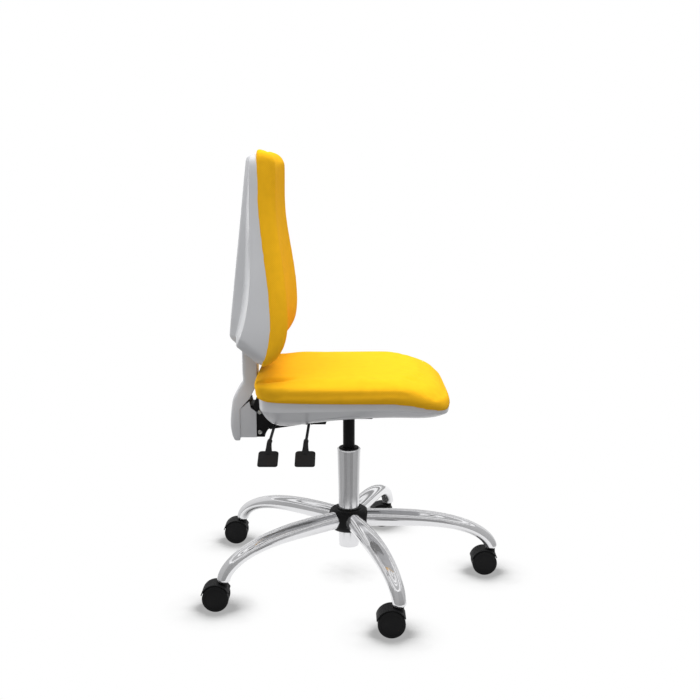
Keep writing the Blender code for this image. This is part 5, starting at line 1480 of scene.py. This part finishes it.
def card_grey(place):
    """Grey of one card of the row."""
    off = (place + 0.5) / CARD_COUNT * 2 - 1
    grey = mix(CARD_DARK, CARD_PALE, off * off)
    return grey * CARD_STREAK if place % 2 else grey


def mirrored_only(obj):
    """Only mirrors see the object: it gives chrome its dark streaks and lights and shades nothing."""
    obj.visible_camera = False
    obj.visible_diffuse = False
    obj.visible_shadow = False
    obj.visible_transmission = False
    obj.visible_volume_scatter = False


def glow_material(name, grey):
    """A plain even grey that needs no light."""
    material = bpy.data.materials.new(name)
    material.use_nodes = True
    tree = material.node_tree
    tree.nodes.clear()
    glow = add(tree, "ShaderNodeEmission", {"Color": (grey, grey, grey, 1.0)})
    add(tree, "ShaderNodeOutputMaterial", links={"Surface": glow.outputs[0]})
    return material


def stage_object(name, mesh, material):
    mesh.materials.append(material)
    obj = linked(name, mesh)
    return obj


def round_wall(name, low, high, start, end, count):
    """Part of a round wall, from two (radius, height) rows and two angles in degrees."""
    rows = []
    for angle in steps(math.radians(start), math.radians(end), count):
        rows.append([(r * math.cos(angle), r * math.sin(angle), height) for r, height in (low, high)])
    return skin(name, rows, looped=False)


def seen_directly(tree):
    """1 for what the camera, a mirror or clear matter sees, and 0 for what lights the scene."""
    path = add(tree, "ShaderNodeLightPath")
    links = {0: path.outputs["Is Camera Ray"], 1: path.outputs["Is Glossy Ray"]}
    both = add(tree, "ShaderNodeMath", {"operation": "MAXIMUM"}, links)
    links = {0: both.outputs[0], 1: path.outputs["Is Transmission Ray"]}
    return add(tree, "ShaderNodeMath", {"operation": "MAXIMUM"}, links).outputs[0]


def floor_material(settings):
    """White paper with a painted shadow: to the camera and to mirrors it glows white, darkened softly by
    ambient occlusion under what stands on it, and it throws a weaker light up at the chair.
    """
    material = bpy.data.materials.new("white_paper_painted_shadow")
    material.use_nodes = True
    tree = material.node_tree
    tree.nodes.clear()
    # Painted shadow: ambient occlusion darkens the glow that the camera sees near pieces close above the
    # floor
    near = add(tree, "ShaderNodeAmbientOcclusion", {"samples": 16, "Distance": settings.contact})
    shade = {"From Min": 0.74, "From Max": 0.955, "To Min": 0.40}
    level = add(tree, "ShaderNodeMapRange", shade, {"Value": near.outputs["AO"]})
    glow = add(tree, "ShaderNodeEmission", links={"Color": level.outputs[0]})
    paper = add(tree, "ShaderNodeBsdfDiffuse", {"Color": (*settings.floor, 1.0)})
    links = {0: seen_directly(tree), 1: paper.outputs[0], 2: glow.outputs[0]}
    shown = add(tree, "ShaderNodeMixShader", links=links)
    add(tree, "ShaderNodeOutputMaterial", links={"Surface": shown.outputs[0]})
    return material


def lamp(name, power, size, place):
    """A soft light that shines on the chair and that neither the camera nor a mirror sees."""
    light = bpy.data.lights.new(name, "AREA")
    light.energy = power
    light.size = size
    obj = linked(name, light)
    obj.location = place
    aim = Vector((AXIS_X, 0.0, LIT_HEIGHT)) - obj.location
    obj.rotation_euler = aim.to_track_quat("-Z", "Y").to_euler()
    obj.visible_camera = False
    obj.visible_glossy = False


def light_world(settings):
    """A world that shows white and lights the chair with a softer sky."""
    world = bpy.data.worlds.new("studio")
    bpy.context.scene.world = world
    world.use_nodes = True
    tree = world.node_tree
    tree.nodes.clear()
    sky = add(tree, "ShaderNodeBackground", {"Color": (1.0, 1.0, 1.0, 1.0), "Strength": settings.sky})
    white = add(tree, "ShaderNodeBackground", {"Color": (1.0, 1.0, 1.0, 1.0), "Strength": 1.0})
    links = {0: seen_directly(tree), 1: sky.outputs[0], 2: white.outputs[0]}
    shown = add(tree, "ShaderNodeMixShader", links=links)
    add(tree, "ShaderNodeOutputWorld", links={"Surface": shown.outputs[0]})


class OFFICE_CHAIR_OT_stage(bpy.types.Operator):
    """Sets up the white floor, the soft light, the camera and the grey cards that chrome mirrors"""

    bl_idname = "office_chair.stage"
    bl_label = "Stage"

    def execute(self, context):
        settings = context.scene.office_chair_stage
        context.scene.view_settings.view_transform = "Standard"
        light_world(settings)
        signs = ((-1, -1), (1, -1), (1, 1), (-1, 1))
        corners = [(x * FLOOR_REACH, y * FLOOR_REACH, 0.0) for x, y in signs]
        stage_object("floor", mesh_of("floor", corners, [(0, 1, 2, 3)]), floor_material(settings))
        for place, (low, high, grey) in enumerate(BANDS):
            name = f"band_{place}"
            band = round_wall(name, *arc((0.0, 0.0), STAGE_RADIUS, low, high, 2), 0, 360, 73)
            mirrored_only(stage_object(name, band, glow_material(name, grey)))
        for place in range(CARD_COUNT):
            name = f"card_{place}"
            start = CARD_START + place * CARD_STEP
            ends = (CARD_RADIUS, CARD_LOW), (CARD_RADIUS, CARD_HIGH)
            card = round_wall(name, *ends, start, start + CARD_STEP, 5)
            mirrored_only(stage_object(name, card, glow_material(name, card_grey(place))))
        lamp("top_light", settings.key, KEY_SIZE, (AXIS_X, 0.0, KEY_HEIGHT))
        lamp("rim_light", settings.rim, RIM_SIZE, RIM_PLACE)
        lens = bpy.data.cameras.new("camera")
        lens.lens = settings.lens
        lens.sensor_width = SENSOR
        camera = linked("camera", lens)
        back_off = settings.distance * math.cos(settings.pitch)
        up = settings.distance * math.sin(settings.pitch)
        camera.location = (AXIS_X + settings.aim_x, -back_off, settings.aim_z + up)
        camera.rotation_euler = (math.pi / 2 - settings.pitch, 0.0, 0.0)
        context.scene.camera = camera
        return {"FINISHED"}


# Add-on

STEPS = (
    OFFICE_CHAIR_OT_stage,
    OFFICE_CHAIR_OT_seat_cushion,
    OFFICE_CHAIR_OT_seat_shell,
    OFFICE_CHAIR_OT_back_cushion,
    OFFICE_CHAIR_OT_back_shell,
    OFFICE_CHAIR_OT_back_cover,
    OFFICE_CHAIR_OT_mechanism,
    OFFICE_CHAIR_OT_levers,
    OFFICE_CHAIR_OT_column,
    OFFICE_CHAIR_OT_hub_cover,
    OFFICE_CHAIR_OT_legs,
    OFFICE_CHAIR_OT_castors,
    OFFICE_CHAIR_OT_inner_parts,
)


class OFFICE_CHAIR_PT_steps(bpy.types.Panel):
    """Lists the steps that dress the chair"""

    bl_idname = "OFFICE_CHAIR_PT_steps"
    bl_label = "Office chair"
    bl_space_type = "VIEW_3D"
    bl_region_type = "UI"
    bl_category = "Office chair"

    def draw(self, context):
        for step in STEPS:
            self.layout.operator(step.bl_idname)


GROUPS = {
    "finish": FinishSettings,
    "seat": SeatSettings,
    "back": BackSettings,
    "base": BaseSettings,
    "stage": StageSettings,
}
CLASSES = (*GROUPS.values(), *STEPS, OFFICE_CHAIR_PT_steps)


def register():
    for made in CLASSES:
        bpy.utils.register_class(made)
    for name, group in GROUPS.items():
        setattr(bpy.types.Scene, f"office_chair_{name}", PointerProperty(type=group))


def unregister():
    for name in GROUPS:
        delattr(bpy.types.Scene, f"office_chair_{name}")
    for made in reversed(CLASSES):
        bpy.utils.unregister_class(made)


def main():
    register()
    bpy.ops.office_chair.stage()
    bpy.ops.office_chair.seat_cushion()
    bpy.ops.office_chair.seat_shell()
    bpy.ops.office_chair.back_cushion()
    bpy.ops.office_chair.back_shell()
    bpy.ops.office_chair.back_cover()
    bpy.ops.office_chair.mechanism()
    bpy.ops.office_chair.levers()
    bpy.ops.office_chair.column()
    bpy.ops.office_chair.hub_cover()
    bpy.ops.office_chair.legs()
    bpy.ops.office_chair.castors()
    bpy.ops.office_chair.inner_parts()
    bpy.context.view_layer.update()


if __name__ == "__main__":
    main()
